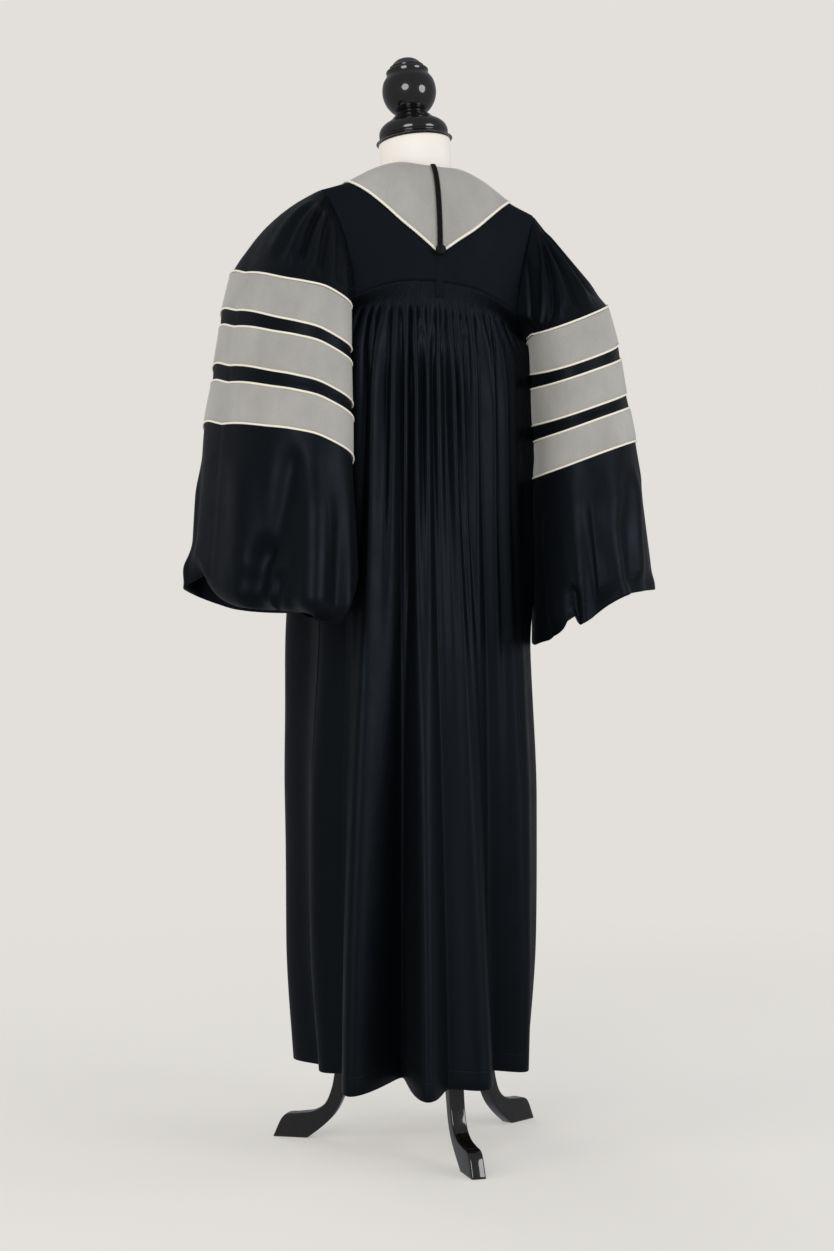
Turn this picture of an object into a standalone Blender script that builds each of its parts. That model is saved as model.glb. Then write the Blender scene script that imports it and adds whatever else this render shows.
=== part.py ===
"""Graduation gown on a limbless dress form.

Metres, +Z up, +X the wearer's left, -Y the front of the gown, the floor at z = 0.
The cloth is laid out in plan and in section from the tables below. Every panel is a grid of
points on one shared surface, seamed panels use the same points along their seam, and each
wall is its grid moved out by the cloth's thickness. What is sewn on a panel is made from
that panel's own points, moved out further.
"""

import math

import bpy
import numpy as np

# ---------------------------------------------------------------- cloth and seams
CLOTH = 0.0012  # gown cloth, thickness of the wall
VELVET = 0.0010  # velvet bands and facings
SEAM = 0.0003  # gap between two pieces
ARM_SEAM = 0.0011  # how far the gathered sleeve head starts from the armhole
CORD_R = 0.0020  # neck piping, radius
BAR_CORD_R = 0.0016  # sleeve piping, radius
BAR_GAP = 0.0026  # from the line of a bar's piping to the edge of its velvet

# ---------------------------------------------------------------- the gown's main sizes
AXIS_Y = -0.050  # centre of the body in plan
SEAM_HALF = 0.125  # half the length of the yoke seam, straight across
CHEST_Z = 1.235  # where the front hangs free
ARMPIT_Z = 1.195
ARMPIT_ANGLE = 74.0  # degrees round from the back, also the side seam at the top
SIDE_ANGLE = 78.0  # side seam at the hem
HEM_Z = 0.115
NECK_HALF = 0.050  # neck opening on the shoulder ridge
NECK_BACK_TURN = 0.20  # neck opening at the centre back, share of the yoke's turn
FACING_HALF = 0.125  # outer edge of the velvet on the shoulder ridge
FRONT_GAP = 0.0006  # half the gap between the two fronts
HEM_DROP = 0.12  # how much lower the hem hangs for each metre it stands out
SAG = 0.055  # drop to the wearer's right, per metre of width
SHOULDER_POWER = 0.75
SIDES = ((1, "left"), (-1, "right"))
MIDDLE_Y = 0.016  # middle of the whole object, front to back, which is set at y = 0

RIDGE = (  # half width, height of the shoulder ridge
    (0.000, 1.445),
    (0.050, 1.441),
    (0.080, 1.430),
    (0.125, 1.404),
    (0.166, 1.388),
)
YOKE_SEAM = (  # half width, height of the seam, depth of the back
    (0.000, 1.267, 0.058),
    (0.060, 1.261, 0.056),
    (0.100, 1.247, 0.050),
    (0.125, 1.235, 0.045),
    (0.166, 1.225, 0.036),
)
CHEST = (  # half width, depth of the front at the chest
    (0.000, 0.148),
    (0.080, 0.142),
    (0.128, 0.100),
    (0.166, 0.055),
)
ARMHOLE = (  # share of the turn, half width at the back, half width at the front
    (0.00, 0.166, 0.166),
    (0.25, 0.161, 0.158),
    (0.50, 0.151, 0.146),
    (0.75, 0.138, 0.134),
    (1.00, 0.125, 0.128),
)
NECK_V = (  # half width, height of the outer edge of the velvet at the back
    (0.000, 1.307),
    (0.030, 1.330),
    (0.056, 1.349),
    (0.080, 1.370),
    (0.104, 1.390),
    (0.125, 1.404),
)
FRONT_EDGES = (  # share of the turn, inner edge, outer edge of the facing
    (0.00, 0.0500, 0.1250),
    (0.15, 0.0640, 0.1240),
    (0.30, 0.0600, 0.1210),
    (0.50, 0.0380, 0.1130),
    (0.78, FRONT_GAP, 0.1040),
    (1.00, FRONT_GAP, 0.1000),
)
FACING_DOWN = ((0.115, 0.098), (0.700, 0.098), (1.235, 0.100))  # height, outer edge

SECTIONS = (  # height, half width, back depth, front depth, squareness
    (0.115, 0.156, 0.150, 0.147, 2.3),
    (0.300, 0.171, 0.143, 0.146, 2.4),
    (0.500, 0.173, 0.137, 0.144, 2.6),
    (0.700, 0.164, 0.130, 0.140, 2.8),
    (0.900, 0.153, 0.120, 0.130, 3.3),
    (1.050, 0.146, 0.114, 0.115, 4.0),
    (1.180, 0.143, 0.110, 0.101, 4.6),
    (1.257, 0.143, 0.108, 0.098, 5.0),
)
FLUTES = (  # degrees round from the back (the wearer's left is +), outward at the hem
    (-180, 0.000),
    (-160, 0.010),
    (-146, -0.010),
    (-130, 0.014),
    (-112, 0.004),
    (-98, -0.018),
    (-76, 0.008),
    (-60, 0.000),
    (-46, 0.020),
    (-30, -0.016),
    (-9, 0.062),
    (4, 0.046),
    (14, 0.097),
    (26, -0.012),
    (41, 0.080),
    (58, -0.008),
    (75, 0.008),
    (92, -0.016),
    (112, 0.004),
    (130, 0.014),
    (146, -0.010),
    (160, 0.010),
    (180, 0.000),
)
FLUTE_FADE = ((0.115, 1.00), (0.300, 0.82), (0.500, 0.58), (0.800, 0.22), (1.060, 0.00))
PLEATS = (  # degrees round from the back, outward where the pleats are deepest
    (-74, 0.000),
    (-56, 0.000),
    (-50, 0.004),
    (-46, -0.004),
    (-43, 0.006),
    (-39, -0.005),
    (-35, 0.008),
    (-30, -0.004),
    (-24, 0.008),
    (-19, -0.004),
    (-16, 0.004),
    (-13, -0.003),
    (-9, 0.008),
    (-4, -0.004),
    (2, 0.004),
    (6, -0.004),
    (10, 0.006),
    (14, -0.004),
    (18, 0.008),
    (22, -0.003),
    (25, 0.004),
    (28, -0.004),
    (32, 0.008),
    (37, -0.005),
    (42, 0.008),
    (47, -0.003),
    (51, 0.003),
    (56, 0.000),
    (74, 0.000),
)
PLEAT_FADE = ((0.300, 0.00), (0.600, 0.30), (0.850, 0.80), (1.100, 1.00), (1.180, 0.50), (1.225, 0.0))
FLARE = 0.024  # extra fullness at each front corner of the skirt
FLARE_ANGLE = 113.0
FLARE_SPREAD = 34.0
FLARE_FADE = ((0.115, 0.95), (0.400, 0.80), (0.600, 0.92), (0.780, 1.20), (1.120, 0.00))

SLEEVE = (  # outer x, outer z, inner x, inner z, middle y, half depth, inward, back drop, power
    (0.275, 1.262, 0.1545, 1.206, 0.019, 0.115, 0.25, 0.017, 2.3),
    (0.289, 1.207, 0.1555, 1.148, 0.022, 0.120, 0.23, 0.019, 2.4),
    (0.292, 1.183, 0.1560, 1.124, 0.024, 0.121, 0.23, 0.014, 2.4),
    (0.300, 1.129, 0.1575, 1.068, 0.027, 0.126, 0.24, 0.013, 2.4),
    (0.303, 1.105, 0.1590, 1.043, 0.032, 0.127, 0.25, 0.009, 2.4),
    (0.313, 1.050, 0.1610, 0.986, 0.034, 0.132, 0.26, 0.004, 2.4),
    (0.321, 0.960, 0.1640, 0.895, 0.039, 0.145, 0.26, 0.000, 2.3),
    (0.328, 0.880, 0.1660, 0.815, 0.039, 0.157, 0.25, 0.000, 2.2),
    (0.334, 0.818, 0.1680, 0.752, 0.036, 0.162, 0.24, 0.000, 2.2),
)
UNDERARM_DIP = 0.030  # the first row passes under the armpit
UNDERARM_POWER = (10, 4)  # how narrow that dip is at the back and at the front
HEAD_ROWS = (0.30, 0.65)  # rows between the armhole and the first bar
HEAD_PUFF = {1: (0.017, 0.010, 0.013), -1: (-0.002, 0.008, 0.013)}  # sleeve heads: top, sides, underside
BAG_LIFT = 0.034  # how much higher the left sleeve's hem hangs at its inner side
BAR_ROWS = ((3, 4), (5, 6), (7, 8))  # sleeve rows that carry the piping of each velvet bar
SLEEVE_FOLDS = (  # degrees round from the top towards the back, outward at the hem
    (0, 0.004),
    (20, 0.008),
    (40, -0.004),
    (60, -0.012),
    (80, 0.008),
    (100, -0.012),
    (120, 0.004),
    (140, 0.010),
    (160, -0.003),
    (180, 0.000),
    (216, 0.006),
    (252, -0.008),
    (288, 0.008),
    (324, -0.008),
    (342, 0.004),
    (360, 0.004),
)
SLEEVE_FADE = ((0.0, 0.0), (8.0, 0.0), (9.0, 0.45), (10.0, 0.85), (11.0, 1.0))

# ---------------------------------------------------------------- dress form and stand
FORM = (  # height, half width, half depth, centre y, forward tilt in degrees
    (0.800, 0.100, 0.070, -0.034, 0.0),
    (0.815, 0.120, 0.082, -0.035, 0.0),
    (0.880, 0.130, 0.088, -0.038, 0.0),
    (0.980, 0.118, 0.080, -0.043, 0.0),
    (1.070, 0.108, 0.074, -0.047, 0.0),
    (1.160, 0.116, 0.078, -0.049, 0.0),
    (1.240, 0.120, 0.080, -0.048, 0.0),
    (1.300, 0.120, 0.072, -0.042, 0.0),
    (1.350, 0.114, 0.058, -0.036, 0.0),
    (1.385, 0.092, 0.048, -0.034, 4.0),
    (1.405, 0.068, 0.046, -0.036, 4.0),
    (1.425, 0.055, 0.049, -0.039, 4.0),
    (1.455, 0.053, 0.053, -0.042, 5.0),
    (1.4885, 0.0535, 0.0535, -0.0458, 5.0),
)
NECK_LEAN = 5.0  # the cap's lean to the front, in degrees
NECK_ROLL = 4.5  # and to the wearer's left
NECK_SIDE = 0.005  # how far that carries the top of the neck
NECK_Z = 1.385  # where the neck begins to lean
CAP_BASE = (0.005, -0.046, 1.491)  # centre of the neck cap's underside
CAP = (  # radius, height up the leaning axis
    (0.0000, 0.0003),
    (0.0532, 0.0003),
    (0.0532, 0.0020),
    (0.0500, 0.0060),
    (0.0515, 0.0095),
    (0.0515, 0.0150),
    (0.0490, 0.0215),
    (0.0435, 0.0270),
    (0.0365, 0.0310),
    (0.0303, 0.0330),
    (0.0000, 0.0330),
)
FINIAL = (
    (0.0000, 0.0333),
    (0.0303, 0.0333),
    (0.0303, 0.0355),
    (0.0272, 0.0392),
    (0.0225, 0.0425),
    (0.0232, 0.0440),
    (0.0283, 0.0480),
    (0.0339, 0.0550),
    (0.0376, 0.0620),
    (0.0399, 0.0700),
    (0.0405, 0.0771),
    (0.0397, 0.0850),
    (0.0373, 0.0930),
    (0.0316, 0.1018),
    (0.0318, 0.1080),
    (0.0295, 0.1105),
    (0.0262, 0.1115),
    (0.0258, 0.1150),
    (0.0225, 0.1175),
    (0.0190, 0.1215),
    (0.0120, 0.1260),
    (0.0000, 0.1275),
)
POLE_R = 0.0125
HUB_R = 0.033
HUB = (0.150, 0.222)  # bottom and top
LEG_WIDE = 0.022
LEG_ANGLES = (90.0, 209.0, 330.0)  # degrees round from the wearer's left
LEG_EDGE = (  # distance from the pole, height, round the board
    (0.234, 0.001),
    (0.218, 0.032),
    (0.195, 0.037),
    (0.172, 0.041),
    (0.154, 0.053),
    (0.144, 0.075),
    (0.139, 0.100),
    (0.135, 0.125),
    (0.120, 0.165),
    (0.092, 0.195),
    (0.0348, 0.212),
    (0.0348, 0.165),
    (0.072, 0.155),
    (0.099, 0.136),
    (0.112, 0.112),
    (0.119, 0.088),
    (0.127, 0.061),
    (0.139, 0.038),
    (0.157, 0.019),
    (0.180, 0.001),
)

# ---------------------------------------------------------------- how finely it is laid out
YOKE_HALF = 12  # columns of the back yoke from the centre to the shoulder ridge
SEAM_COLS = 6  # of those, the ones along the yoke seam
YOKE_ROWS = (2, 3)  # under the velvet, outside it
BACK_PER_COL = 4  # columns of the back panel for one of the yoke's
BACK_ARM_ROWS = 3  # rows from the yoke seam to the armpit
FRONT_TURN_ROWS = 6  # rows from the shoulder ridge to the chest
FRONT_ARM_ROWS = 4  # rows from the chest to the armpit
FRONT_PER_COL = 3
LOWER_Z = (1.195, 1.095, 0.975, 0.830, 0.660, 0.470, 0.285, 0.115)

COLOURS = {
    "gown_cloth": (0.012, 0.013, 0.016, 0.45),
    "velvet": (0.39, 0.38, 0.36, 0.95),
    "piping": (0.90, 0.87, 0.75, 0.6),
    "cord": (0.015, 0.015, 0.015, 0.5),
    "form_cover": (0.93, 0.88, 0.80, 0.9),
    "black_wood": (0.012, 0.012, 0.013, 0.2),
}


# ---------------------------------------------------------------- tables to curves
def curve(table, x, column=1):
    """Smooth value of a table's column at x: cubic pieces, mean slopes, no overshoot."""
    xs = np.array([row[0] for row in table], float)
    ys = np.array([row[column] for row in table], float)
    steps = np.diff(ys) / np.diff(xs)
    mean = (steps[1:] + steps[:-1]) / 2
    least = 3 * np.minimum(np.abs(steps[1:]), np.abs(steps[:-1])) * (steps[1:] * steps[:-1] > 0)
    slopes = np.concatenate([steps[:1], np.clip(mean, -least, least), steps[-1:]])
    x = np.clip(np.asarray(x, float), xs[0], xs[-1])
    k = np.clip(np.searchsorted(xs, x, "right") - 1, 0, len(xs) - 2)
    h = xs[k + 1] - xs[k]
    t = (x - xs[k]) / h
    return (
        ys[k] * (1 + 2 * t) * (1 - t) ** 2
        + slopes[k] * h * t * (1 - t) ** 2
        + ys[k + 1] * t * t * (3 - 2 * t)
        - slopes[k + 1] * h * t * t * (1 - t)
    )


def folds(table, degrees):
    """Fold depth round a section: half a cosine wave from each row to the next."""
    xs, ys = np.array(table, float).T
    degrees = np.clip(degrees, xs[0], xs[-1])
    k = np.clip(np.searchsorted(xs, degrees, "right") - 1, 0, len(xs) - 2)
    t = (degrees - xs[k]) / (xs[k + 1] - xs[k])
    return ys[k] + (ys[k + 1] - ys[k]) * (0.5 - 0.5 * np.cos(np.pi * t))


def ease(t):
    t = np.clip(t, 0.0, 1.0)
    return t * t * (3 - 2 * t)


# ---------------------------------------------------------------- the gown's surfaces
def shoulder(x, turn, front):
    """Shoulder: a quarter superellipse from the ridge (turn 0) to the seam or chest (turn 1)."""
    half = np.abs(x)
    a = np.clip(turn, 0, 1) * np.pi / 2
    low = CHEST_Z if front else curve(YOKE_SEAM, half)
    depth = -curve(CHEST, half) if front else curve(YOKE_SEAM, half, 2)
    y = depth * np.sin(a) ** SHOULDER_POWER
    z = low + (curve(RIDGE, half) - low) * np.cos(a) ** SHOULDER_POWER
    return np.stack(np.broadcast_arrays(x, y, z), -1)


def turn_at(x, z):
    """The yoke's turn where it is z high at x."""
    low, top = curve(YOKE_SEAM, x), curve(RIDGE, x)
    share = np.clip((z - low) / (top - low), 0, 1)
    return np.arccos(share ** (1 / SHOULDER_POWER)) / (np.pi / 2)


def section(degrees, z):
    """Radius of the hanging cloth from the body's axis, folds and all."""
    a = np.radians(degrees)
    half, back, front, power = (curve(SECTIONS, z, c) for c in (1, 2, 3, 4))
    deep = np.where(np.cos(a) > 0, back, front)
    plain = ((np.abs(np.sin(a)) / half) ** power + (np.abs(np.cos(a)) / deep) ** power) ** (-1 / power)
    flare = np.cos(np.clip((np.abs(degrees) - FLARE_ANGLE) / FLARE_SPREAD, -1, 1) * np.pi / 2) ** 2
    return (
        plain
        + folds(FLUTES, degrees) * curve(FLUTE_FADE, z)
        + folds(PLEATS, degrees) * curve(PLEAT_FADE, z)
        + flare * FLARE * curve(FLARE_FADE, z)
    )


def polar(degrees, radius, z):
    a = np.radians(degrees)
    return np.stack(np.broadcast_arrays(radius * np.sin(a), AXIS_Y + radius * np.cos(a), z), -1)


def hanging(top, degrees, z, drop_z):
    """Cloth that hangs from a row of top points and takes the section's form 0.1 m lower."""
    radius = np.hypot(top[..., 0], top[..., 1] - AXIS_Y)
    w = ease((drop_z - z) / 0.10)
    return polar(degrees, radius * (1 - w) + section(degrees, z) * w, z)


def angle_of(point):
    return np.degrees(np.arctan2(point[..., 0], point[..., 1] - AXIS_Y))


def side_angle(z):
    return ARMPIT_ANGLE + (SIDE_ANGLE - ARMPIT_ANGLE) * (ARMPIT_Z - z) / (ARMPIT_Z - HEM_Z)


def sagged(points):
    """The gown as it was hung: lower at the wearer's right shoulder, level again by the waist."""
    share = ease((points[..., 2] - 0.9) / 0.3)
    out = points.copy()
    out[..., 2] += SAG * points[..., 0] * share
    return out


def yoke_half():
    """Left half of the back yoke as rows of points, from the centre back to the shoulder ridge."""
    k = np.arange(YOKE_HALF + 1) / YOKE_HALF
    neck_x = NECK_HALF * np.sin(k * np.pi / 2)
    neck_turn = NECK_BACK_TURN * np.cos(k * np.pi / 2)
    v_x = FACING_HALF * (1 - (1 - k) ** 1.15)
    v_turn = turn_at(v_x, curve(NECK_V, v_x))
    seam_x = SEAM_HALF * np.arange(SEAM_COLS + 1) / SEAM_COLS
    up = 1 - np.arange(1, YOKE_HALF - SEAM_COLS + 1) / (YOKE_HALF - SEAM_COLS)
    arm_turn = up**1.25
    edge_x = np.concatenate([seam_x, curve(ARMHOLE, arm_turn)])
    edge_turn = np.concatenate([np.ones(SEAM_COLS + 1), arm_turn])
    rows = []
    for t in np.arange(YOKE_ROWS[0]) / YOKE_ROWS[0]:
        rows.append((neck_x + (v_x - neck_x) * t, neck_turn + (v_turn - neck_turn) * t))
    for t in np.arange(YOKE_ROWS[1] + 1) / YOKE_ROWS[1]:
        rows.append((v_x + (edge_x - v_x) * t, v_turn + (edge_turn - v_turn) * t))
    x, turn = (np.stack(c, 1) for c in zip(*rows))
    return shoulder(x, turn, False)


def yoke_points():
    """The whole back yoke, from the right shoulder ridge to the left one."""
    left = yoke_half()
    right = left[:0:-1] * np.array([-1, 1, 1])
    return np.concatenate([right, left])


def back_points(yoke):
    """Back panel: its top row lies on the yoke's seam, point for point."""
    first = YOKE_HALF - SEAM_COLS
    fine = np.arange(2 * SEAM_COLS * BACK_PER_COL + 1) / BACK_PER_COL + first
    top = on_grid(yoke, fine, np.full(len(fine), float(sum(YOKE_ROWS))))
    share = np.linspace(-1, 1, len(fine))
    rows = [top]
    arm = CHEST_Z + (ARMPIT_Z - CHEST_Z) * np.arange(1, BACK_ARM_ROWS) / BACK_ARM_ROWS
    for level in (*arm, *LOWER_Z):
        z = level + (top[:, 2] - CHEST_Z) * ease((level - 0.95) / (CHEST_Z - 0.95))
        wide = share * side_angle(level) if level <= ARMPIT_Z else None
        if wide is None:
            w = ease((CHEST_Z - level) / (CHEST_Z - ARMPIT_Z))
            wide = angle_of(top) * (1 - w) + share * ARMPIT_ANGLE * w
        if level == HEM_Z:
            z = z - HEM_DROP * folds(FLUTES, wide)
        rows.append(hanging(top, wide, z, top[:, 2]))
    return np.stack(rows, 1)


def front_points(side, yoke):
    """Front panel from the shoulder ridge to the hem; side is 1 for the wearer's left."""
    face, rest = YOKE_ROWS[0], YOKE_ROWS[1] * FRONT_PER_COL
    turns = (np.arange(FRONT_TURN_ROWS + 1) / FRONT_TURN_ROWS) ** 1.25
    inner, outer = curve(FRONT_EDGES, turns), curve(FRONT_EDGES, turns, 2)
    arm = curve(ARMHOLE, turns, 2)
    a, b = np.arange(face) / face, np.arange(rest + 1) / rest
    x = np.concatenate(
        [inner[:, None] + (outer - inner)[:, None] * a, outer[:, None] + (arm - outer)[:, None] * b], 1
    )
    upper = shoulder(x * side, turns[:, None], True)
    ridge = yoke[-1 if side > 0 else 0]
    steps = np.concatenate([np.arange(face), face + np.arange(rest + 1) / FRONT_PER_COL])
    upper[0] = between(ridge, steps)
    top, rows = upper[-1], []
    levels = CHEST_Z + (ARMPIT_Z - CHEST_Z) * np.arange(1, FRONT_ARM_ROWS) / FRONT_ARM_ROWS
    for level in (*levels, *LOWER_Z):
        w = ease((CHEST_Z - level) / (CHEST_Z - ARMPIT_Z))
        edge = abs(angle_of(top[-1])) * (1 - w) + side_angle(min(level, ARMPIT_Z)) * w
        turned = 40.0
        for _ in range(6):
            radius = section(np.array([180 - turned]), np.array([level]))[0]
            turned = np.degrees(np.arcsin(curve(FACING_DOWN, level) / radius))
        near = np.concatenate([(180 - turned) + turned * (1 - a), (180 - turned) + (edge - 180 + turned) * b])
        start = np.abs(angle_of(top))
        wide = start * (1 - w) + near * w
        row = hanging(top, side * wide, np.full(len(top), level), CHEST_Z)
        row[0, 0] = side * FRONT_GAP
        rows.append(row)
    return np.concatenate([upper, np.stack(rows)], 0).transpose(1, 0, 2)


def sleeve_points(side, armhole):
    """Sleeve: the armhole's points, then one closed ring of points for each row of the table."""
    back = YOKE_HALF - SEAM_COLS + BACK_ARM_ROWS
    front = len(armhole) - back
    turn = np.concatenate([np.arange(back) * 180 / back, 180 + np.arange(front) * 180 / front])
    c, s = np.cos(np.radians(turn)), np.sin(np.radians(turn))
    rings = []
    for k, (ox, oz, ix, iz, my, deep, inward, drop, power) in enumerate(SLEEVE):
        cc = np.sign(c) * np.abs(c) ** (2 / power)
        ss = np.sign(s) * np.abs(s) ** (2 / power)
        out = folds(SLEEVE_FOLDS, turn) * curve(SLEEVE_FADE, float(k + 3))
        x = (ox + ix) / 2 + (ox - ix) / 2 * cc - inward * deep * ss + out * c
        y = my + deep * ss + out * s
        z = (oz + iz) / 2 + (oz - iz) / 2 * cc - drop * np.clip(ss, 0, 1) ** 1.2
        if k == 0:
            z = z - UNDERARM_DIP * np.clip(-c, 0, 1) ** np.where(s < 0, UNDERARM_POWER[1], UNDERARM_POWER[0])
        if side > 0:
            z = z + BAG_LIFT * ease((k - 5) / 3) * (1 - cc) / 2
        rings.append(sagged(np.stack([x * side, y, z], -1)))
    top, sides, under = HEAD_PUFF[side]
    up, down = np.clip(c, 0, 1), np.clip(-c, 0, 1)
    puff = up * top + (1 - np.abs(c)) * sides
    puff = np.stack([puff * 0.76 * up * side, puff * s, puff * 0.65 * up], -1)
    tuck = np.stack([under * down * side, 0 * c, 0 * c], -1)
    head = [
        armhole * (1 - t) + rings[0] * t + (puff + tuck * 1.5 * (1 - t)) * np.sin(np.pi * t) for t in HEAD_ROWS
    ]
    return np.stack([armhole, *head, *rings], 1)


# ---------------------------------------------------------------- grids and their normals
def between(points, steps):
    """Points of a polyline at fractional places along it."""
    k = np.clip(np.floor(steps).astype(int), 0, len(points) - 2)
    t = (steps - k)[..., None]
    return points[k] * (1 - t) + points[k + 1] * t


def on_grid(grid, i, j):
    """Points of a grid at fractional columns i and rows j."""
    ki = np.clip(np.floor(i).astype(int), 0, grid.shape[0] - 2)
    kj = np.clip(np.floor(j).astype(int), 0, grid.shape[1] - 2)
    ti, tj = (i - ki)[..., None], (j - kj)[..., None]
    near = grid[ki, kj] * (1 - ti) + grid[ki + 1, kj] * ti
    far = grid[ki, kj + 1] * (1 - ti) + grid[ki + 1, kj + 1] * ti
    return near * (1 - tj) + far * tj


def unit(v):
    return v / np.maximum(np.linalg.norm(v, axis=-1, keepdims=True), 1e-12)


def normals_of(grid, outward, ring=False):
    """Unit normals that halve the bend between the faces round a point; outward sets their sense."""
    across = bisector(grid, ring)
    down = bisector(grid.transpose(1, 0, 2), False).transpose(1, 0, 2)
    n = unit(np.cross(across, down))
    return n * np.sign((n * outward).sum(-1, keepdims=True))


def bisector(points, ring):
    """Direction of each line of points along the first axis: the mean of the steps either side."""
    if ring:
        steps = unit(np.roll(points, -1, 0) - points)
        return unit(steps + np.roll(steps, 1, 0))
    steps = unit(np.diff(points, axis=0))
    return unit(np.concatenate([steps[:1], steps[1:] + steps[:-1], steps[-1:]]))


def share_normals(*places):
    """Gives the pieces that meet at a point one mitre direction. A place is (normals, index)."""
    mean = unit(sum(n[index] for n, index in places))
    for n, index in places:
        n[index] = mean


def drawn_back(grid, edge, amount, ring=False):
    """Moves one edge of a grid in by amount, square to the edge: first_i, last_i, first_j, last_j."""
    out = grid.copy() if edge.endswith("_i") else grid.transpose(1, 0, 2).copy()
    at, then = {"first": (0, 1), "last": (-1, -2)}[edge.split("_")[0]]
    step = unit(out[then] - out[at])
    square = np.linalg.norm(np.cross(step, bisector(out[at], ring)), axis=-1, keepdims=True)
    out[at] += step * amount / np.clip(square, 0.3, 1)
    return out if edge.endswith("_i") else out.transpose(1, 0, 2)


# ---------------------------------------------------------------- solids
def add_mesh(name, points, faces, material):
    points, faces = np.asarray(points, float), np.asarray(faces, int)
    a, b, c = (points[faces[:, n]] for n in range(3))
    if (a * np.cross(b, c)).sum() < 0:
        faces = faces[:, ::-1]
    mesh = bpy.data.meshes.new(name)
    mesh.from_pydata(points.tolist(), [], faces.tolist())
    obj = bpy.data.objects.new(name, mesh)
    GOWN.objects.link(obj)
    return finish(obj, material)


def wall(name, grid, normals, inner, outer, material, ring=False):
    """A closed wall: the grid moved out by inner and by outer, joined round its open edges."""
    ni, nj = grid.shape[:2]
    points = np.concatenate([(grid + normals * inner).reshape(-1, 3), (grid + normals * outer).reshape(-1, 3)])
    number = np.arange(2 * ni * nj).reshape(2, ni, nj)
    quads = []
    last = ni if ring else ni - 1
    for i in range(last):
        n = (i + 1) % ni
        for j in range(nj - 1):
            quads.append((number[0, i, j], number[0, i, j + 1], number[0, n, j + 1], number[0, n, j]))
            quads.append((number[1, i, j], number[1, n, j], number[1, n, j + 1], number[1, i, j + 1]))
        quads.append((number[0, i, 0], number[0, n, 0], number[1, n, 0], number[1, i, 0]))
        quads.append((number[0, n, nj - 1], number[0, i, nj - 1], number[1, i, nj - 1], number[1, n, nj - 1]))
    if not ring:
        for j in range(nj - 1):
            quads.append((number[0, 0, j + 1], number[0, 0, j], number[1, 0, j], number[1, 0, j + 1]))
            quads.append((number[0, -1, j], number[0, -1, j + 1], number[1, -1, j + 1], number[1, -1, j]))
    # the same diagonal on both faces of the wall, so that what lies on it never crosses it
    if ring:
        quads = [(q[1], q[2], q[3], q[0]) for q in quads]
    faces = [corners for q in quads for corners in ((q[0], q[1], q[2]), (q[0], q[2], q[3]))]
    return add_mesh(name, points, faces, material)


def tube(name, path, up, along_side, shape, material, ring=False):
    """A cord: the shape's (side, up) corners carried along a path."""
    rings = np.stack([path + along_side * s + up * u for s, u in shape], 1)
    n, m = rings.shape[:2]
    number = np.arange(n * m).reshape(n, m)
    faces = []
    for i in range(n if ring else n - 1):
        k = (i + 1) % n
        for j in range(m):
            l = (j + 1) % m
            faces += [(number[i, j], number[k, j], number[k, l]), (number[i, j], number[k, l], number[i, l])]
    if not ring:
        for j in range(1, m - 1):
            faces.append((number[0, 0], number[0, j], number[0, j + 1]))
            faces.append((number[-1, 0], number[-1, j + 1], number[-1, j]))
    return add_mesh(name, rings.reshape(-1, 3), faces, material)


def lathe(name, profile, base, lean, steps, material):
    """A turned piece: the profile screwed about its own axis, then leant to the front and the left."""
    mesh = bpy.data.meshes.new(name)
    mesh.from_pydata([(r, 0.0, h) for r, h in profile], [(n, n + 1) for n in range(len(profile) - 1)], [])
    obj = bpy.data.objects.new(name, mesh)
    GOWN.objects.link(obj)
    screw = obj.modifiers.new("turned", "SCREW")
    screw.steps = screw.render_steps = steps
    screw.use_merge_vertices = True
    screw.merge_threshold = 0.00005
    screw.use_normal_calculate = False
    screw.use_normal_flip = True
    obj.location = base
    obj.rotation_euler = (math.radians(lean[0]), math.radians(lean[1]), 0.0)
    return finish(obj, material)


def finish(obj, material):
    base = bpy.data.materials.new(obj.name)
    base.use_nodes = True
    shader = base.node_tree.nodes["Principled BSDF"]
    r, g, b, rough = COLOURS[material]
    shader.inputs["Base Color"].default_value = (r, g, b, 1.0)
    shader.inputs["Roughness"].default_value = rough
    base.diffuse_color = (r, g, b, 1.0)
    obj.data.materials.append(base)
    return obj


# ---------------------------------------------------------------- building
for old in list(bpy.data.objects):
    bpy.data.objects.remove(old)
GOWN = bpy.data.collections.new("graduation gown")
bpy.context.scene.collection.children.link(GOWN)


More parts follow.
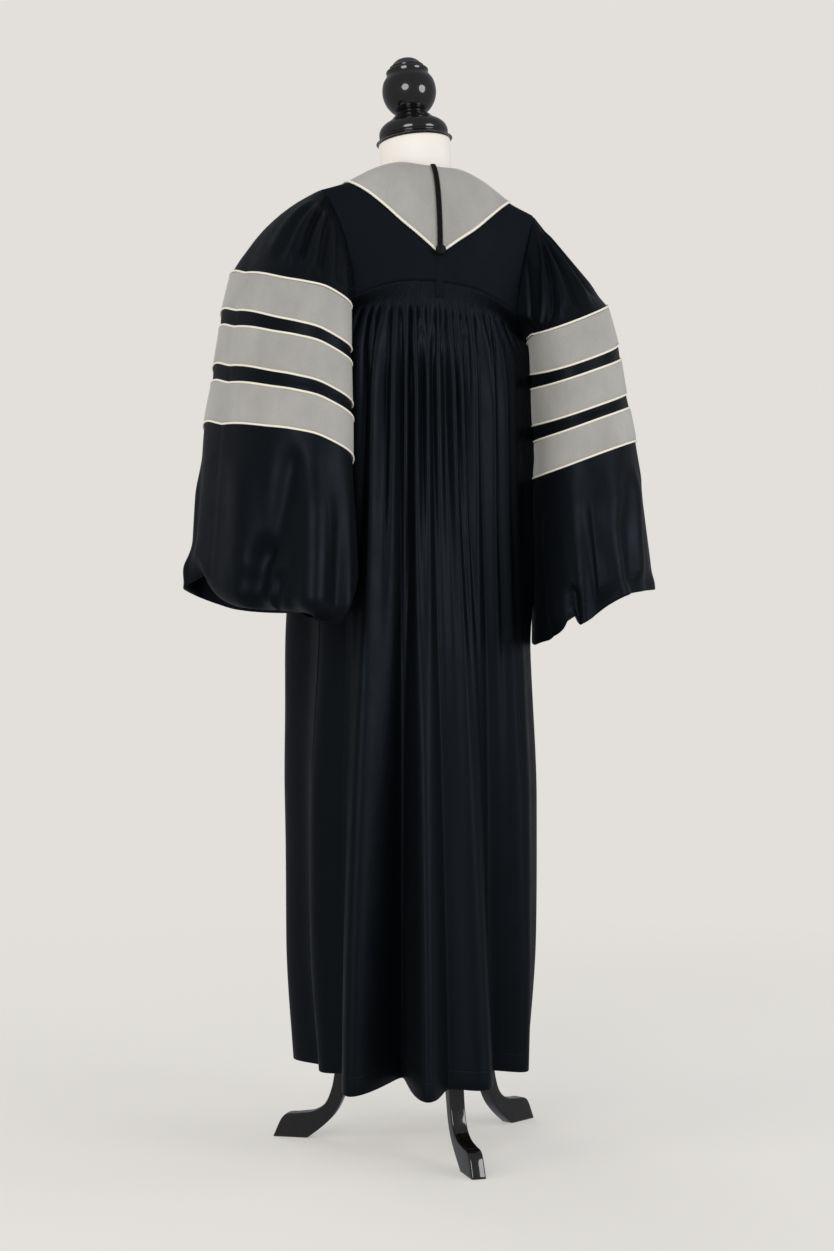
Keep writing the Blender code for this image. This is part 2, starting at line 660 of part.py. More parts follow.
def build_gown():
    yoke, back = yoke_points(), back_points(yoke_points())
    per, face, seam_at = BACK_PER_COL, YOKE_ROWS[0], YOKE_HALF - SEAM_COLS
    arm_rows = FRONT_TURN_ROWS + FRONT_ARM_ROWS
    panels = {word: front_points(side, yoke) for side, word in SIDES}
    for side, word in SIDES:
        # the side seam runs half way between the two panels' own edges, row for row
        front, edge = panels[word], -1 if side > 0 else 0
        apart = back[edge, BACK_ARM_ROWS:] - front[-1, arm_rows:]
        near = np.linspace(0, 1, front.shape[0]) ** 10
        front[:, arm_rows:] += apart / 2 * near[:, None, None]
        near = np.clip(np.linspace(-side, side, back.shape[0]), 0, 1) ** 16
        back[:, BACK_ARM_ROWS:] -= apart / 2 * near[:, None, None]
    yoke, back = sagged(yoke), sagged(back)
    steps = np.arange(back.shape[0]) / per + seam_at
    back[:, 0] = on_grid(yoke, steps, np.full(len(steps), float(sum(YOKE_ROWS))))
    yoke_n = normals_of(yoke, yoke - np.array([0, -0.05, 1.25]))
    back_n = normals_of(back, (back - np.array([0, AXIS_Y, 0])) * np.array([1, 1, 0]))
    for k in range(2 * SEAM_COLS + 1):
        share_normals((yoke_n, (seam_at + k, -1)), (back_n, (k * per, 0)))

    fronts, sleeves = {}, {}
    for side, word in SIDES:
        front, edge, ridge = sagged(panels[word]), -1 if side > 0 else 0, yoke[-1 if side > 0 else 0]
        steps = np.concatenate([np.arange(face), face + np.arange(front.shape[0] - face) / FRONT_PER_COL])
        front[:, 0] = between(ridge, steps)
        outward = front - np.array([0, AXIS_Y, 1.2])
        outward[..., 2] = np.clip(outward[..., 2], 0, None)
        front_n = normals_of(front, outward)

        # the armhole, from the ridge down the back to the armpit and up the front
        yoke_col = [(2 * YOKE_HALF - k if side > 0 else k) for k in range(SEAM_COLS + 1)]
        places = [[(yoke_n, (c, -1))] for c in yoke_col]
        points = [yoke[c, -1] for c in yoke_col]
        places[-1].append((back_n, (edge, 0)))
        for r in range(1, BACK_ARM_ROWS + 1):
            places.append([(back_n, (edge, r))])
            points.append(back[edge, r])
        places[-1].append((front_n, (-1, arm_rows)))
        for r in range(arm_rows - 1, 0, -1):
            places.append([(front_n, (-1, r))])
            points.append(front[-1, r])
        places[0].append((front_n, (-1, 0)))
        sleeve = sleeve_points(side, np.array(points))
        sleeve_n = normals_of(sleeve, sleeve - sleeve.mean(0, keepdims=True), ring=True)
        for k, place in enumerate(places):
            share_normals(*place, (sleeve_n, (k, 0)))
        for k in range(len(ridge) - 1):
            share_normals((yoke_n, (edge, k)), (front_n, (k if k <= face else face + (k - face) * FRONT_PER_COL, 0)))
        for at in range(face, front.shape[0]):
            low = face + (at - face) // FRONT_PER_COL * FRONT_PER_COL
            if at != low:
                t = (at - low) / FRONT_PER_COL
                front_n[at, 0] = front_n[low, 0] * (1 - t) + front_n[low + FRONT_PER_COL, 0] * t
        for r in range(arm_rows + 1, front.shape[1]):
            share_normals((front_n, (-1, r)), (back_n, (edge, BACK_ARM_ROWS + r - arm_rows)))
        fronts[word] = (front, front_n)
        sleeves[word] = (sleeve, sleeve_n)
    for k in range(2 * SEAM_COLS):
        for m in range(1, per):
            t = m / per
            back_n[k * per + m, 0] = back_n[k * per, 0] * (1 - t) + back_n[(k + 1) * per, 0] * t

    half = SEAM / 2
    # panels of gown cloth
    cut = yoke
    for edge in ("first_i", "last_i", "last_j"):
        cut = drawn_back(cut, edge, half)
    wall("yoke_back", cut, yoke_n, 0.0, CLOTH, "gown_cloth")
    cut = back
    for edge in ("first_i", "last_i", "first_j"):
        cut = drawn_back(cut, edge, half)
    wall("back_panel", cut, back_n, 0.0, CLOTH, "gown_cloth")
    for word, (front, front_n) in fronts.items():
        cut = drawn_back(drawn_back(front, "last_i", half), "first_j", half)
        wall("front_" + word, cut, front_n, 0.0, CLOTH, "gown_cloth")
    for word, (sleeve, sleeve_n) in sleeves.items():
        cut = drawn_back(sleeve, "first_j", ARM_SEAM, ring=True)
        wall("sleeve_" + word, cut, sleeve_n, 0.0, CLOTH, "gown_cloth", ring=True)

    # velvet on the neck and down the fronts
    low, high = CLOTH + SEAM, CLOTH + SEAM + VELVET
    rows = face + 1
    velvet = yoke[:, :rows]
    for edge, amount in (("first_i", half), ("last_i", half), ("last_j", CORD_R + SEAM)):
        velvet = drawn_back(velvet, edge, amount)
    wall("velvet_back", velvet, yoke_n[:, :rows], low, high, "velvet")
    for word, (front, front_n) in fronts.items():
        velvet = drawn_back(drawn_back(front[:rows], "last_i", CORD_R + SEAM), "first_j", half)
        wall("velvet_front_" + word, velvet, front_n[:rows], low, high, "velvet")

    # piping along the velvet's outer edge, from the point at the back to the hem at the front
    diamond = ((0, -CORD_R), (CORD_R, 0), (0, CORD_R), (-CORD_R, 0))
    for side, word in SIDES:
        front, front_n = fronts[word]
        line = yoke[YOKE_HALF:, face] if side > 0 else yoke[YOKE_HALF::-1, face]
        line_n = yoke_n[YOKE_HALF:, face] if side > 0 else yoke_n[YOKE_HALF::-1, face]
        start = line[0] + unit(line[1] - line[0]) * (CORD_R * 1.6)
        path = np.concatenate([start[None], line[1:], front[face, 1:]])
        ups = np.concatenate([line_n, front_n[face, 1:]])
        across = unit(np.cross(bisector(path, False), ups))
        centre = path + ups * (CLOTH + SEAM + CORD_R)
        tube("piping_neck_" + word, centre, ups, across, diamond, "piping")

    # velvet bars on the sleeves, each between two pipings
    for word, (sleeve, sleeve_n) in sleeves.items():
        for k, (top, bottom) in enumerate(BAR_ROWS, 1):
            strip = sleeve[:, top : bottom + 1]
            for edge in ("first_j", "last_j"):
                strip = drawn_back(strip, edge, BAR_GAP, ring=True)
            wall(f"bar_{word}_{k}", strip, sleeve_n[:, top : bottom + 1], low, high, "velvet", ring=True)
            for row, where in ((top, "top"), (bottom, "bottom")):
                path, ups = sleeve[:, row], sleeve_n[:, row]
                across = unit(np.cross(bisector(path, True), ups))
                base = path + ups * (CLOTH + SEAM)
                corners = ((0, 0), (BAR_CORD_R, 1.4 * BAR_CORD_R), (-BAR_CORD_R, 1.4 * BAR_CORD_R))
                tube(f"piping_{word}_{k}_{where}", base, ups, across, corners, "piping", ring=True)

    # centre back: hood cord on the velvet, its button at the point, and the tab under it
    column = np.array([YOKE_HALF - 0.45, YOKE_HALF, YOKE_HALF + 0.45])
    i, j = np.meshgrid(column, np.array([0.02, 1.0, face - 0.14]), indexing="ij")
    wall("hood_cord", on_grid(yoke, i, j), on_grid(yoke_n, i, j), high + SEAM, high + SEAM + 0.003, "cord")
    tip, tip_n = yoke[YOKE_HALF, face], yoke_n[YOKE_HALF, face]
    disc = lathe(
        "hood_button",
        ((0.0, 0.0), (0.0062, 0.0), (0.0078, 0.002), (0.0072, 0.0045), (0.0045, 0.0062), (0.0, 0.0068)),
        (0.0, 0.0, 0.0),
        (0.0, 0.0),
        16,
        "cord",
    )
    lift = CLOTH + SEAM + 2 * CORD_R + SEAM
    disc.location = tuple(tip + tip_n * lift)
    disc.rotation_euler = (math.atan2(-tip_n[1], tip_n[2]), 0.0, 0.0)
    i, j = np.meshgrid(
        np.array([YOKE_HALF - 0.28, YOKE_HALF, YOKE_HALF + 0.28]), np.array([2.30, 3.0, 4.0, 5.0]), indexing="ij"
    )
    yoke_part, yoke_up = on_grid(yoke, i, j), on_grid(yoke_n, i, j)
    mid = per * SEAM_COLS
    i, j = np.meshgrid(np.array([mid - 0.28 * per, mid, mid + 0.28 * per]), np.array([0.75, 1.5]), indexing="ij")
    tab = np.concatenate([yoke_part, on_grid(back, i, j)], 1)
    tab_n = np.concatenate([yoke_up, on_grid(back_n, i, j)], 1)
    wall("back_tab", tab, tab_n, low + 0.0004, high + 0.0006, "gown_cloth")


def build_form():
    rings = []
    turn = np.radians(np.arange(28) * 360 / 28)
    for z, wide, deep, y, tilt in FORM:
        t, neck = math.radians(tilt), ease((z - NECK_Z) / (FORM[-1][0] - NECK_Z))
        dx, dy = wide * np.cos(turn), deep * np.sin(turn)
        down = dx * math.tan(math.radians(NECK_ROLL)) * neck
        rings.append(np.stack([dx + NECK_SIDE * neck, y + dy * math.cos(t), z + dy * math.sin(t) - down], -1))
    rings = np.stack(rings, 1)
    n, m = rings.shape[:2]
    number = np.arange(n * m).reshape(n, m)
    points = np.concatenate([rings.reshape(-1, 3), [rings[:, 0].mean(0), rings[:, -1].mean(0)]])
    faces = []
    for i in range(n):
        k = (i + 1) % n
        for j in range(m - 1):
            faces += [(number[i, j], number[k, j], number[k, j + 1]), (number[i, j], number[k, j + 1], number[i, j + 1])]
        faces += [(n * m, number[k, 0], number[i, 0]), (n * m + 1, number[i, -1], number[k, -1])]
    add_mesh("form_torso", points, faces, "form_cover")
    lathe("neck_cap", CAP, CAP_BASE, (NECK_LEAN, NECK_ROLL), 32, "black_wood")
    lathe("finial", FINIAL, CAP_BASE, (NECK_LEAN, NECK_ROLL), 32, "black_wood")
    pole = ((0.0, HUB[1] + SEAM), (POLE_R, HUB[1] + SEAM), (POLE_R, FORM[0][0] - SEAM), (0.0, FORM[0][0] - SEAM))
    lathe("pole", pole, (0.0, 0.0, 0.0), (0.0, 0.0), 24, "black_wood")
    hub = ((0.0, HUB[0]), (HUB_R, HUB[0]), (HUB_R, HUB[1]), (0.0, HUB[1]))
    lathe("hub", hub, (0.0, 0.0, 0.0), (0.0, 0.0), 32, "black_wood")
    for k, angle in enumerate(LEG_ANGLES, 1):
        outline = bpy.data.curves.new(f"leg_{k}", "CURVE")
        outline.dimensions = "2D"
        outline.fill_mode = "BOTH"
        outline.extrude = LEG_WIDE / 2 - 0.001
        outline.bevel_depth = 0.001
        outline.bevel_resolution = 0
        spline = outline.splines.new("POLY")
        spline.points.add(len(LEG_EDGE) - 1)
        for point, (r, z) in zip(spline.points, LEG_EDGE):
            point.co = (r, z, 0.0, 1.0)
        spline.use_cyclic_u = True
        leg = bpy.data.objects.new(f"leg_{k}", outline)
        GOWN.objects.link(leg)
        leg.rotation_euler = (math.pi / 2, 0.0, math.radians(angle))
        finish(leg, "black_wood")


build_gown()
build_form()
for piece in GOWN.objects:
    piece.location.y -= MIDDLE_Y
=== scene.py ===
"""Looks of a graduation gown on a limbless dress form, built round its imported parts.

Metres, +Z up, +X the wearer's left, -Y the front of the gown, the floor at z = 0.
Every panel is one grid of points worked out from the tables below, which are the gown's own
cutting and hanging sizes; the folds are added along the panel's normals, and what is sewn on
a panel is made from the same surface, moved out.
"""

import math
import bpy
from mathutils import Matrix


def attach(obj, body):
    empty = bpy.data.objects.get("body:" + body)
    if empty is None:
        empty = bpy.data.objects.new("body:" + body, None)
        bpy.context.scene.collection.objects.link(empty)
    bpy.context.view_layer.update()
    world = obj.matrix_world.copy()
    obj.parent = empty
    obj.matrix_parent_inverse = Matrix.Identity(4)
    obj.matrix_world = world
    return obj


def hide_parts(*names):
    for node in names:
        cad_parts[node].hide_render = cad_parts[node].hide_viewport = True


bl_info = {
    "name": "Graduation Gown on a Dress Form",
    "version": (1, 0, 0),
    "blender": (4, 5, 0),
    "location": "View3D > Sidebar > Gown",
    "description": "Builds a gown, its velvet trim, its dress form and stand round the packed parts",
    "category": "Add Mesh",
}

import bpy
import numpy as np
from bpy.props import FloatProperty, FloatVectorProperty, IntProperty, PointerProperty
from bpy.types import Operator, Panel, PropertyGroup

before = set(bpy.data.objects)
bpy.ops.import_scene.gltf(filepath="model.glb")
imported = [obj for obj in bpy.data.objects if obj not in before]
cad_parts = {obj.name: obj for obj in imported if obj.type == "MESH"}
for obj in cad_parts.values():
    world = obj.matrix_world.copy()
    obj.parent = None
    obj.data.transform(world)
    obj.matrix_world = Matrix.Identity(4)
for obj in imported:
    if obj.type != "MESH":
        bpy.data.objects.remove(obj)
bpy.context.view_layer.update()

# ---------------------------------------------------------------- cloth and seams
CLOTH = 0.0012  # gown cloth, thickness of the wall
VELVET = 0.0010  # velvet bands and facings
SEAM = 0.0003  # gap between two pieces
CORD_R = 0.0020  # neck piping, radius
BAR_CORD_R = 0.0016  # sleeve piping, radius
BAR_GAP = 0.0026  # from the line of a bar's piping to the edge of its velvet

# ---------------------------------------------------------------- the gown's main sizes
AXIS_Y = -0.050  # centre of the body in plan
SEAM_HALF = 0.125  # half the length of the yoke seam, straight across
CHEST_Z = 1.235  # where the front hangs free
ARMPIT_Z = 1.195
ARMPIT_ANGLE = 74.0  # degrees round from the back, also the side seam at the top
SIDE_ANGLE = 78.0  # side seam at the hem
HEM_Z = 0.115
NECK_HALF = 0.050  # neck opening on the shoulder ridge
NECK_BACK_TURN = 0.20  # neck opening at the centre back, share of the yoke's turn
FACING_HALF = 0.125  # outer edge of the velvet on the shoulder ridge
FRONT_GAP = 0.0006  # half the gap between the two fronts
HEM_DROP = 0.12  # how much lower the hem hangs for each metre it stands out
SAG = 0.055  # drop to the wearer's right, per metre of width
SHOULDER_POWER = 0.75
SIDES = ((1, "left"), (-1, "right"))
MIDDLE_Y = 0.016  # the form's axis stands this far behind y = 0 in these tables

RIDGE = (  # half width, height of the shoulder ridge
    (0.000, 1.445),
    (0.050, 1.441),
    (0.080, 1.430),
    (0.125, 1.404),
    (0.166, 1.388),
)
YOKE_SEAM = (  # half width, height of the seam, depth of the back
    (0.000, 1.267, 0.058),
    (0.060, 1.261, 0.056),
    (0.100, 1.247, 0.050),
    (0.125, 1.235, 0.045),
    (0.166, 1.225, 0.036),
)
CHEST = (  # half width, depth of the front at the chest
    (0.000, 0.148),
    (0.080, 0.142),
    (0.128, 0.100),
    (0.166, 0.055),
)
ARMHOLE = (  # share of the turn, half width at the back, half width at the front
    (0.00, 0.166, 0.166),
    (0.25, 0.161, 0.158),
    (0.50, 0.151, 0.146),
    (0.75, 0.138, 0.134),
    (1.00, 0.125, 0.128),
)
NECK_V = (  # half width, height of the outer edge of the velvet at the back
    (0.000, 1.307),
    (0.030, 1.330),
    (0.056, 1.349),
    (0.080, 1.370),
    (0.104, 1.390),
    (0.125, 1.404),
)
FRONT_EDGES = (  # share of the turn, inner edge, outer edge of the facing
    (0.00, 0.0500, 0.1250),
    (0.15, 0.0640, 0.1240),
    (0.30, 0.0600, 0.1210),
    (0.50, 0.0380, 0.1130),
    (0.78, FRONT_GAP, 0.1040),
    (1.00, FRONT_GAP, 0.1000),
)
FACING_DOWN = ((0.115, 0.098), (0.700, 0.098), (1.235, 0.100))  # height, outer edge

SECTIONS = (  # height, half width, back depth, front depth, squareness
    (0.115, 0.156, 0.150, 0.147, 2.3),
    (0.300, 0.171, 0.143, 0.146, 2.4),
    (0.500, 0.173, 0.137, 0.144, 2.6),
    (0.700, 0.164, 0.130, 0.140, 2.8),
    (0.900, 0.153, 0.120, 0.130, 3.3),
    (1.050, 0.146, 0.114, 0.115, 4.0),
    (1.180, 0.143, 0.110, 0.101, 4.6),
    (1.257, 0.143, 0.108, 0.098, 5.0),
)
FLUTES = (  # degrees round from the back (the wearer's left is +), outward at the hem
    (-180, 0.000),
    (-160, 0.010),
    (-146, -0.010),
    (-130, 0.014),
    (-112, 0.004),
    (-98, -0.018),
    (-76, 0.008),
    (-60, 0.000),
    (-46, 0.020),
    (-30, -0.016),
    (-9, 0.062),
    (4, 0.046),
    (14, 0.097),
    (26, -0.012),
    (41, 0.080),
    (58, -0.008),
    (75, 0.008),
    (92, -0.016),
    (112, 0.004),
    (130, 0.014),
    (146, -0.010),
    (160, 0.010),
    (180, 0.000),
)
FLUTE_FADE = (  # height, share of the flutes' depth
    (0.115, 1.00),
    (0.300, 0.82),
    (0.500, 0.58),
    (0.800, 0.26),
    (1.000, 0.08),
    (1.150, 0.00),
)
PLEATS = (  # degrees round from the back, outward where the pleats are deepest
    (-74, 0.000),
    (-56, 0.000),
    (-50, 0.004),
    (-46, -0.004),
    (-43, 0.006),
    (-39, -0.005),
    (-35, 0.008),
    (-30, -0.004),
    (-24, 0.008),
    (-19, -0.004),
    (-16, 0.004),
    (-13, -0.003),
    (-9, 0.008),
    (-4, -0.004),
    (2, 0.004),
    (6, -0.004),
    (10, 0.006),
    (14, -0.004),
    (18, 0.008),
    (22, -0.003),
    (25, 0.004),
    (28, -0.004),
    (32, 0.008),
    (37, -0.005),
    (42, 0.008),
    (47, -0.003),
    (51, 0.003),
    (56, 0.000),
    (74, 0.000),
)
PLEAT_FADE = (  # height, share of the pleats' depth
    (0.300, 0.00),
    (0.600, 0.18),
    (0.850, 0.50),
    (1.000, 0.85),
    (1.100, 1.00),
    (1.180, 0.50),
    (1.225, 0.00),
)
FLARE = 0.024  # extra fullness at each front corner of the skirt
FLARE_ANGLE = 113.0
FLARE_SPREAD = 34.0
FLARE_FADE = ((0.115, 0.95), (0.400, 0.80), (0.600, 0.92), (0.780, 1.20), (1.120, 0.00))

SLEEVE = (  # outer x, outer z, inner x, inner z, middle y, half depth, inward, back drop, power
    (0.275, 1.262, 0.1545, 1.206, 0.019, 0.115, 0.25, 0.017, 2.3),
    (0.289, 1.207, 0.1555, 1.148, 0.022, 0.120, 0.23, 0.019, 2.4),
    (0.292, 1.183, 0.1560, 1.124, 0.024, 0.121, 0.23, 0.014, 2.4),
    (0.300, 1.129, 0.1575, 1.068, 0.027, 0.126, 0.24, 0.013, 2.4),
    (0.303, 1.105, 0.1590, 1.043, 0.032, 0.127, 0.25, 0.009, 2.4),
    (0.313, 1.050, 0.1610, 0.986, 0.034, 0.132, 0.26, 0.004, 2.4),
    (0.321, 0.960, 0.1640, 0.895, 0.039, 0.145, 0.26, 0.000, 2.3),
    (0.328, 0.880, 0.1660, 0.815, 0.039, 0.157, 0.25, 0.000, 2.2),
    (0.334, 0.818, 0.1680, 0.752, 0.036, 0.162, 0.24, 0.000, 2.2),
)
UNDERARM_DIP = 0.004  # how far the first bar dips at its top under the arm
UNDERARM_POWER = (60, 4)  # how narrow that dip is at the back and at the front
HEAD_ROWS = (0.30, 0.65)  # rows between the armhole and the first bar
HEAD_PUFF = {1: (0.017, 0.010, 0.013), -1: (-0.002, 0.008, 0.013)}  # sleeve heads: top, sides, underside
BAG_LIFT = 0.034  # how much higher the left sleeve's hem hangs at its inner side
BAR_ROWS = ((3, 4), (5, 6), (7, 8))  # sleeve rows that carry the piping of each velvet bar
SLEEVE_FOLDS = (  # degrees round from the top towards the back, outward at the hem
    (0, 0.004),
    (20, 0.008),
    (40, -0.004),
    (60, -0.012),
    (80, 0.008),
    (100, -0.012),
    (120, 0.004),
    (140, 0.010),
    (160, -0.003),
    (180, 0.000),
    (216, 0.006),
    (252, -0.008),
    (288, 0.008),
    (324, -0.008),
    (342, 0.004),
    (360, 0.004),
)
SLEEVE_FADE = ((0.0, 0.0), (8.0, 0.0), (9.0, 0.45), (10.0, 0.85), (11.0, 1.0))

# ---------------------------------------------------------------- dress form and stand
FORM = (  # height, half width, half depth, centre y, forward tilt in degrees
    (0.800, 0.100, 0.070, -0.034, 0.0),
    (0.815, 0.120, 0.082, -0.035, 0.0),
    (0.880, 0.130, 0.088, -0.038, 0.0),
    (0.980, 0.118, 0.080, -0.043, 0.0),
    (1.070, 0.108, 0.074, -0.047, 0.0),
    (1.160, 0.116, 0.078, -0.049, 0.0),
    (1.240, 0.120, 0.080, -0.048, 0.0),
    (1.300, 0.120, 0.072, -0.042, 0.0),
    (1.350, 0.114, 0.058, -0.036, 0.0),
    (1.385, 0.092, 0.048, -0.034, 4.0),
    (1.405, 0.068, 0.046, -0.036, 4.0),
    (1.425, 0.055, 0.049, -0.039, 4.0),
    (1.455, 0.053, 0.053, -0.042, 5.0),
    (1.4885, 0.0535, 0.0535, -0.0458, 5.0),
)
NECK_LEAN = 5.0  # the cap's lean to the front, in degrees
NECK_ROLL = 4.5  # and to the wearer's left
NECK_SIDE = 0.005  # how far that carries the top of the neck
NECK_Z = 1.385  # where the neck begins to lean
CAP_BASE = (0.005, -0.046, 1.491)  # centre of the neck cap's underside
CAP = (  # radius, height up the leaning axis
    (0.0000, 0.0003),
    (0.0532, 0.0003),
    (0.0532, 0.0020),
    (0.0500, 0.0060),
    (0.0515, 0.0095),
    (0.0515, 0.0150),
    (0.0490, 0.0215),
    (0.0435, 0.0270),
    (0.0365, 0.0310),
    (0.0303, 0.0330),
    (0.0000, 0.0330),
)
FINIAL = (  # radius, height up the same axis
    (0.0000, 0.0333),
    (0.0303, 0.0333),
    (0.0303, 0.0355),
    (0.0272, 0.0392),
    (0.0225, 0.0425),
    (0.0232, 0.0440),
    (0.0283, 0.0480),
    (0.0339, 0.0550),
    (0.0376, 0.0620),
    (0.0399, 0.0700),
    (0.0405, 0.0771),
    (0.0397, 0.0850),
    (0.0373, 0.0930),
    (0.0316, 0.1018),
    (0.0318, 0.1080),
    (0.0295, 0.1105),
    (0.0262, 0.1115),
    (0.0258, 0.1150),
    (0.0225, 0.1175),
    (0.0190, 0.1215),
    (0.0120, 0.1260),
    (0.0000, 0.1275),
)
POLE_R = 0.0125
HUB_R = 0.033
HUB = (0.150, 0.222)  # bottom and top
HUB_END = (  # share of the hub's radius, distance in from its end
    (0.00, 0.000),
    (0.70, 0.000),
    (0.94, 0.002),
    (1.00, 0.008),
    (1.00, 0.020),
)
LEG_WIDE = 0.022
LEG_SQUARE = 0.2  # power of the legs' cross-section: 1 is round, 0 square
LEG_ANGLES = (90.0, 209.0, 330.0)  # degrees round from the wearer's left
LEG_TOP = 11  # points of the upper edge; the others are the lower edge, from the hub back down
LEG_EDGE = (  # distance from the pole, height, round the board
    (0.234, 0.001),
    (0.218, 0.032),
    (0.195, 0.037),
    (0.172, 0.041),
    (0.154, 0.053),
    (0.144, 0.075),
    (0.139, 0.100),
    (0.135, 0.125),
    (0.120, 0.165),
    (0.092, 0.195),
    (0.0348, 0.212),
    (0.0348, 0.165),
    (0.072, 0.155),
    (0.099, 0.136),
    (0.112, 0.112),
    (0.119, 0.088),
    (0.127, 0.061),
    (0.139, 0.038),
    (0.157, 0.019),
    (0.180, 0.001),
)

# ---------------------------------------------------------------- folds that only show close up
RIBS = 84  # fine gathers side by side under the yoke seam
RIB_DEPTH = 0.0007
RIB_BAND = 0.034  # height of the gathered band
FINE_PLEATS = 27  # pleats that open at the foot of that band
FINE_PLEAT_DEPTH = 0.0034
STRIP_RIB = 0.0045  # spacing of the gathers at the sleeve head
STRIP_DEPTH = 0.0015
ARM_NODE = 0.0285  # length of the armhole from one node to the next
HEM_TURN = 0.028  # depth of cloth turned up inside a hem
SIDE_FULL = 0.010  # how far the cloth stands out at each side seam, under the arm
RIDGE_AT, RIDGE_WIDE = -0.87, 0.12  # the ridge beside the right sleeve, shares of the half back
RIDGE_FULL = 1.7  # its height, as a share of SIDE_FULL
BAG_DEEP = 0.062  # how far the back of the left sleeve bags down
BAG_MIDDLE, BAG_REACH = 3.0, 4.3  # node in the middle of the bag, and half its width in nodes
BAG_DROP = 0.84  # share of that width over which the bag hangs down
BAG_CURL, BAG_ROUND = 0.066, 0.025  # length of cloth curled under, and the radius it turns at
CORNER_AT, CORNER_WIDE = 17.0, 0.9  # node at the left mouth's front corner, and its half width
CORNER_OUT = 0.016  # how far that corner stands out
CURLED_HEM = 0.15  # share of the hem's depth that is left where the sleeve is curled
NODES = 19  # the armhole is counted in nodes: 0 ridge, 6 yoke seam, 9 armpit, 13 chest

HEAD_FOLDS_LEFT = (  # node and row where it starts, node and row where it ends, width, outward
    (1.5, 0.40, 0.9, 2.7, 0.34, 0.0030),
    (2.2, 0.35, 2.0, 2.9, 0.26, 0.0050),
    (2.9, 0.30, 3.2, 2.9, 0.24, 0.0055),
    (3.7, 0.30, 4.4, 2.9, 0.24, 0.0045),
    (4.7, 0.30, 5.6, 2.7, 0.28, 0.0030),
    (1.8, 0.40, 1.4, 2.7, 0.22, -0.0035),
    (2.5, 0.35, 2.6, 2.6, 0.20, -0.0060),
    (3.3, 0.30, 3.8, 2.8, 0.20, -0.0050),
    (4.2, 0.30, 5.0, 2.8, 0.22, -0.0045),
    (5.3, 0.30, 6.3, 2.6, 0.26, -0.0035),
    (12.5, 0.40, 11.6, 2.7, 0.34, -0.0035),
    (13.6, 0.40, 13.2, 2.8, 0.34, 0.0045),
    (14.7, 0.40, 14.6, 2.7, 0.28, -0.0045),
    (16.0, 0.40, 16.2, 2.8, 0.36, 0.0045),
    (17.3, 0.50, 17.4, 2.6, 0.30, -0.0030),
)
HEAD_FOLDS_RIGHT = (  # the same columns, as in the two tables of mouth folds
    (2.6, 0.10, 7.0, 2.3, 0.30, 0.0045),
    (2.5, 0.12, 5.3, 2.8, 0.30, 0.0055),
    (2.4, 0.15, 3.3, 2.9, 0.30, 0.0055),
    (2.0, 0.20, 1.2, 2.8, 0.34, 0.0035),
    (2.6, 0.12, 6.1, 2.6, 0.22, -0.0050),
    (2.5, 0.15, 4.3, 2.9, 0.22, -0.0060),
    (2.2, 0.20, 2.2, 2.8, 0.24, -0.0045),
    (4.6, 0.10, 7.7, 1.8, 0.22, -0.0030),
    (12.4, 0.40, 11.8, 2.7, 0.34, 0.0035),
    (13.4, 0.40, 13.0, 2.8, 0.30, -0.0045),
    (14.8, 0.40, 14.9, 2.7, 0.34, 0.0045),
    (16.2, 0.40, 16.0, 2.8, 0.28, -0.0045),
    (17.4, 0.50, 17.5, 2.6, 0.34, 0.0030),
)
BAG_FOLDS_LEFT = (
    (3.3, 8.15, 2.0, 9.7, 0.46, -0.0100),
    (2.0, 9.20, 1.5, 10.6, 0.36, -0.0150),
    (2.6, 9.60, 2.2, 10.6, 0.26, -0.0080),
    (0.9, 8.40, 1.3, 9.9, 0.60, 0.0050),
    (4.3, 8.40, 3.6, 10.9, 0.70, 0.0090),
    (11.0, 8.50, 11.2, 11.0, 0.40, -0.0080),
    (13.0, 8.40, 12.8, 11.0, 0.50, 0.0080),
    (14.8, 8.60, 15.0, 11.0, 0.36, -0.0090),
    (16.6, 8.40, 16.8, 10.9, 0.50, 0.0070),
)
BAG_FOLDS_RIGHT = (
    (9.3, 7.40, 9.3, 12.4, 1.90, 0.0090),
    (2.2, 8.30, 2.5, 11.0, 0.45, 0.0080),
    (3.6, 8.90, 3.5, 11.0, 0.55, -0.0050),
    (4.9, 8.40, 4.8, 11.0, 0.40, 0.0080),
    (6.3, 10.10, 6.2, 11.1, 0.26, -0.0080),
    (7.6, 8.50, 7.3, 10.9, 0.34, 0.0060),
    (1.0, 8.60, 1.1, 10.9, 0.36, -0.0050),
    (11.2, 8.50, 11.4, 11.0, 0.40, -0.0080),
    (12.9, 8.40, 13.2, 11.0, 0.50, 0.0080),
    (15.0, 8.60, 14.8, 11.0, 0.36, -0.0090),
    (16.9, 8.40, 16.7, 10.9, 0.50, 0.0070),
)
BAR_RISE_LEFT = (  # node, how much higher the left sleeve's bars lie
    (0.0, -0.0080),
    (1.0, -0.0080),
    (2.0, -0.0070),
    (3.2, -0.0010),
    (4.6, 0.0060),
    (6.0, 0.0060),
    (7.5, 0.0030),
    (9.0, 0.0000),
    (13.0, 0.0000),
    (15.5, 0.0040),
    (17.2, 0.0050),
    (18.0, 0.0020),
    (19.0, -0.0080),
)
HEM_WAVE_LEFT = (  # node, how much higher the hem hangs
    (0.0, -0.004),
    (1.0, -0.002),
    (7.0, 0.002),
    (9.0, 0.000),
    (13.0, -0.006),
    (15.5, 0.004),
    (17.2, 0.004),
    (19.0, -0.004),
)
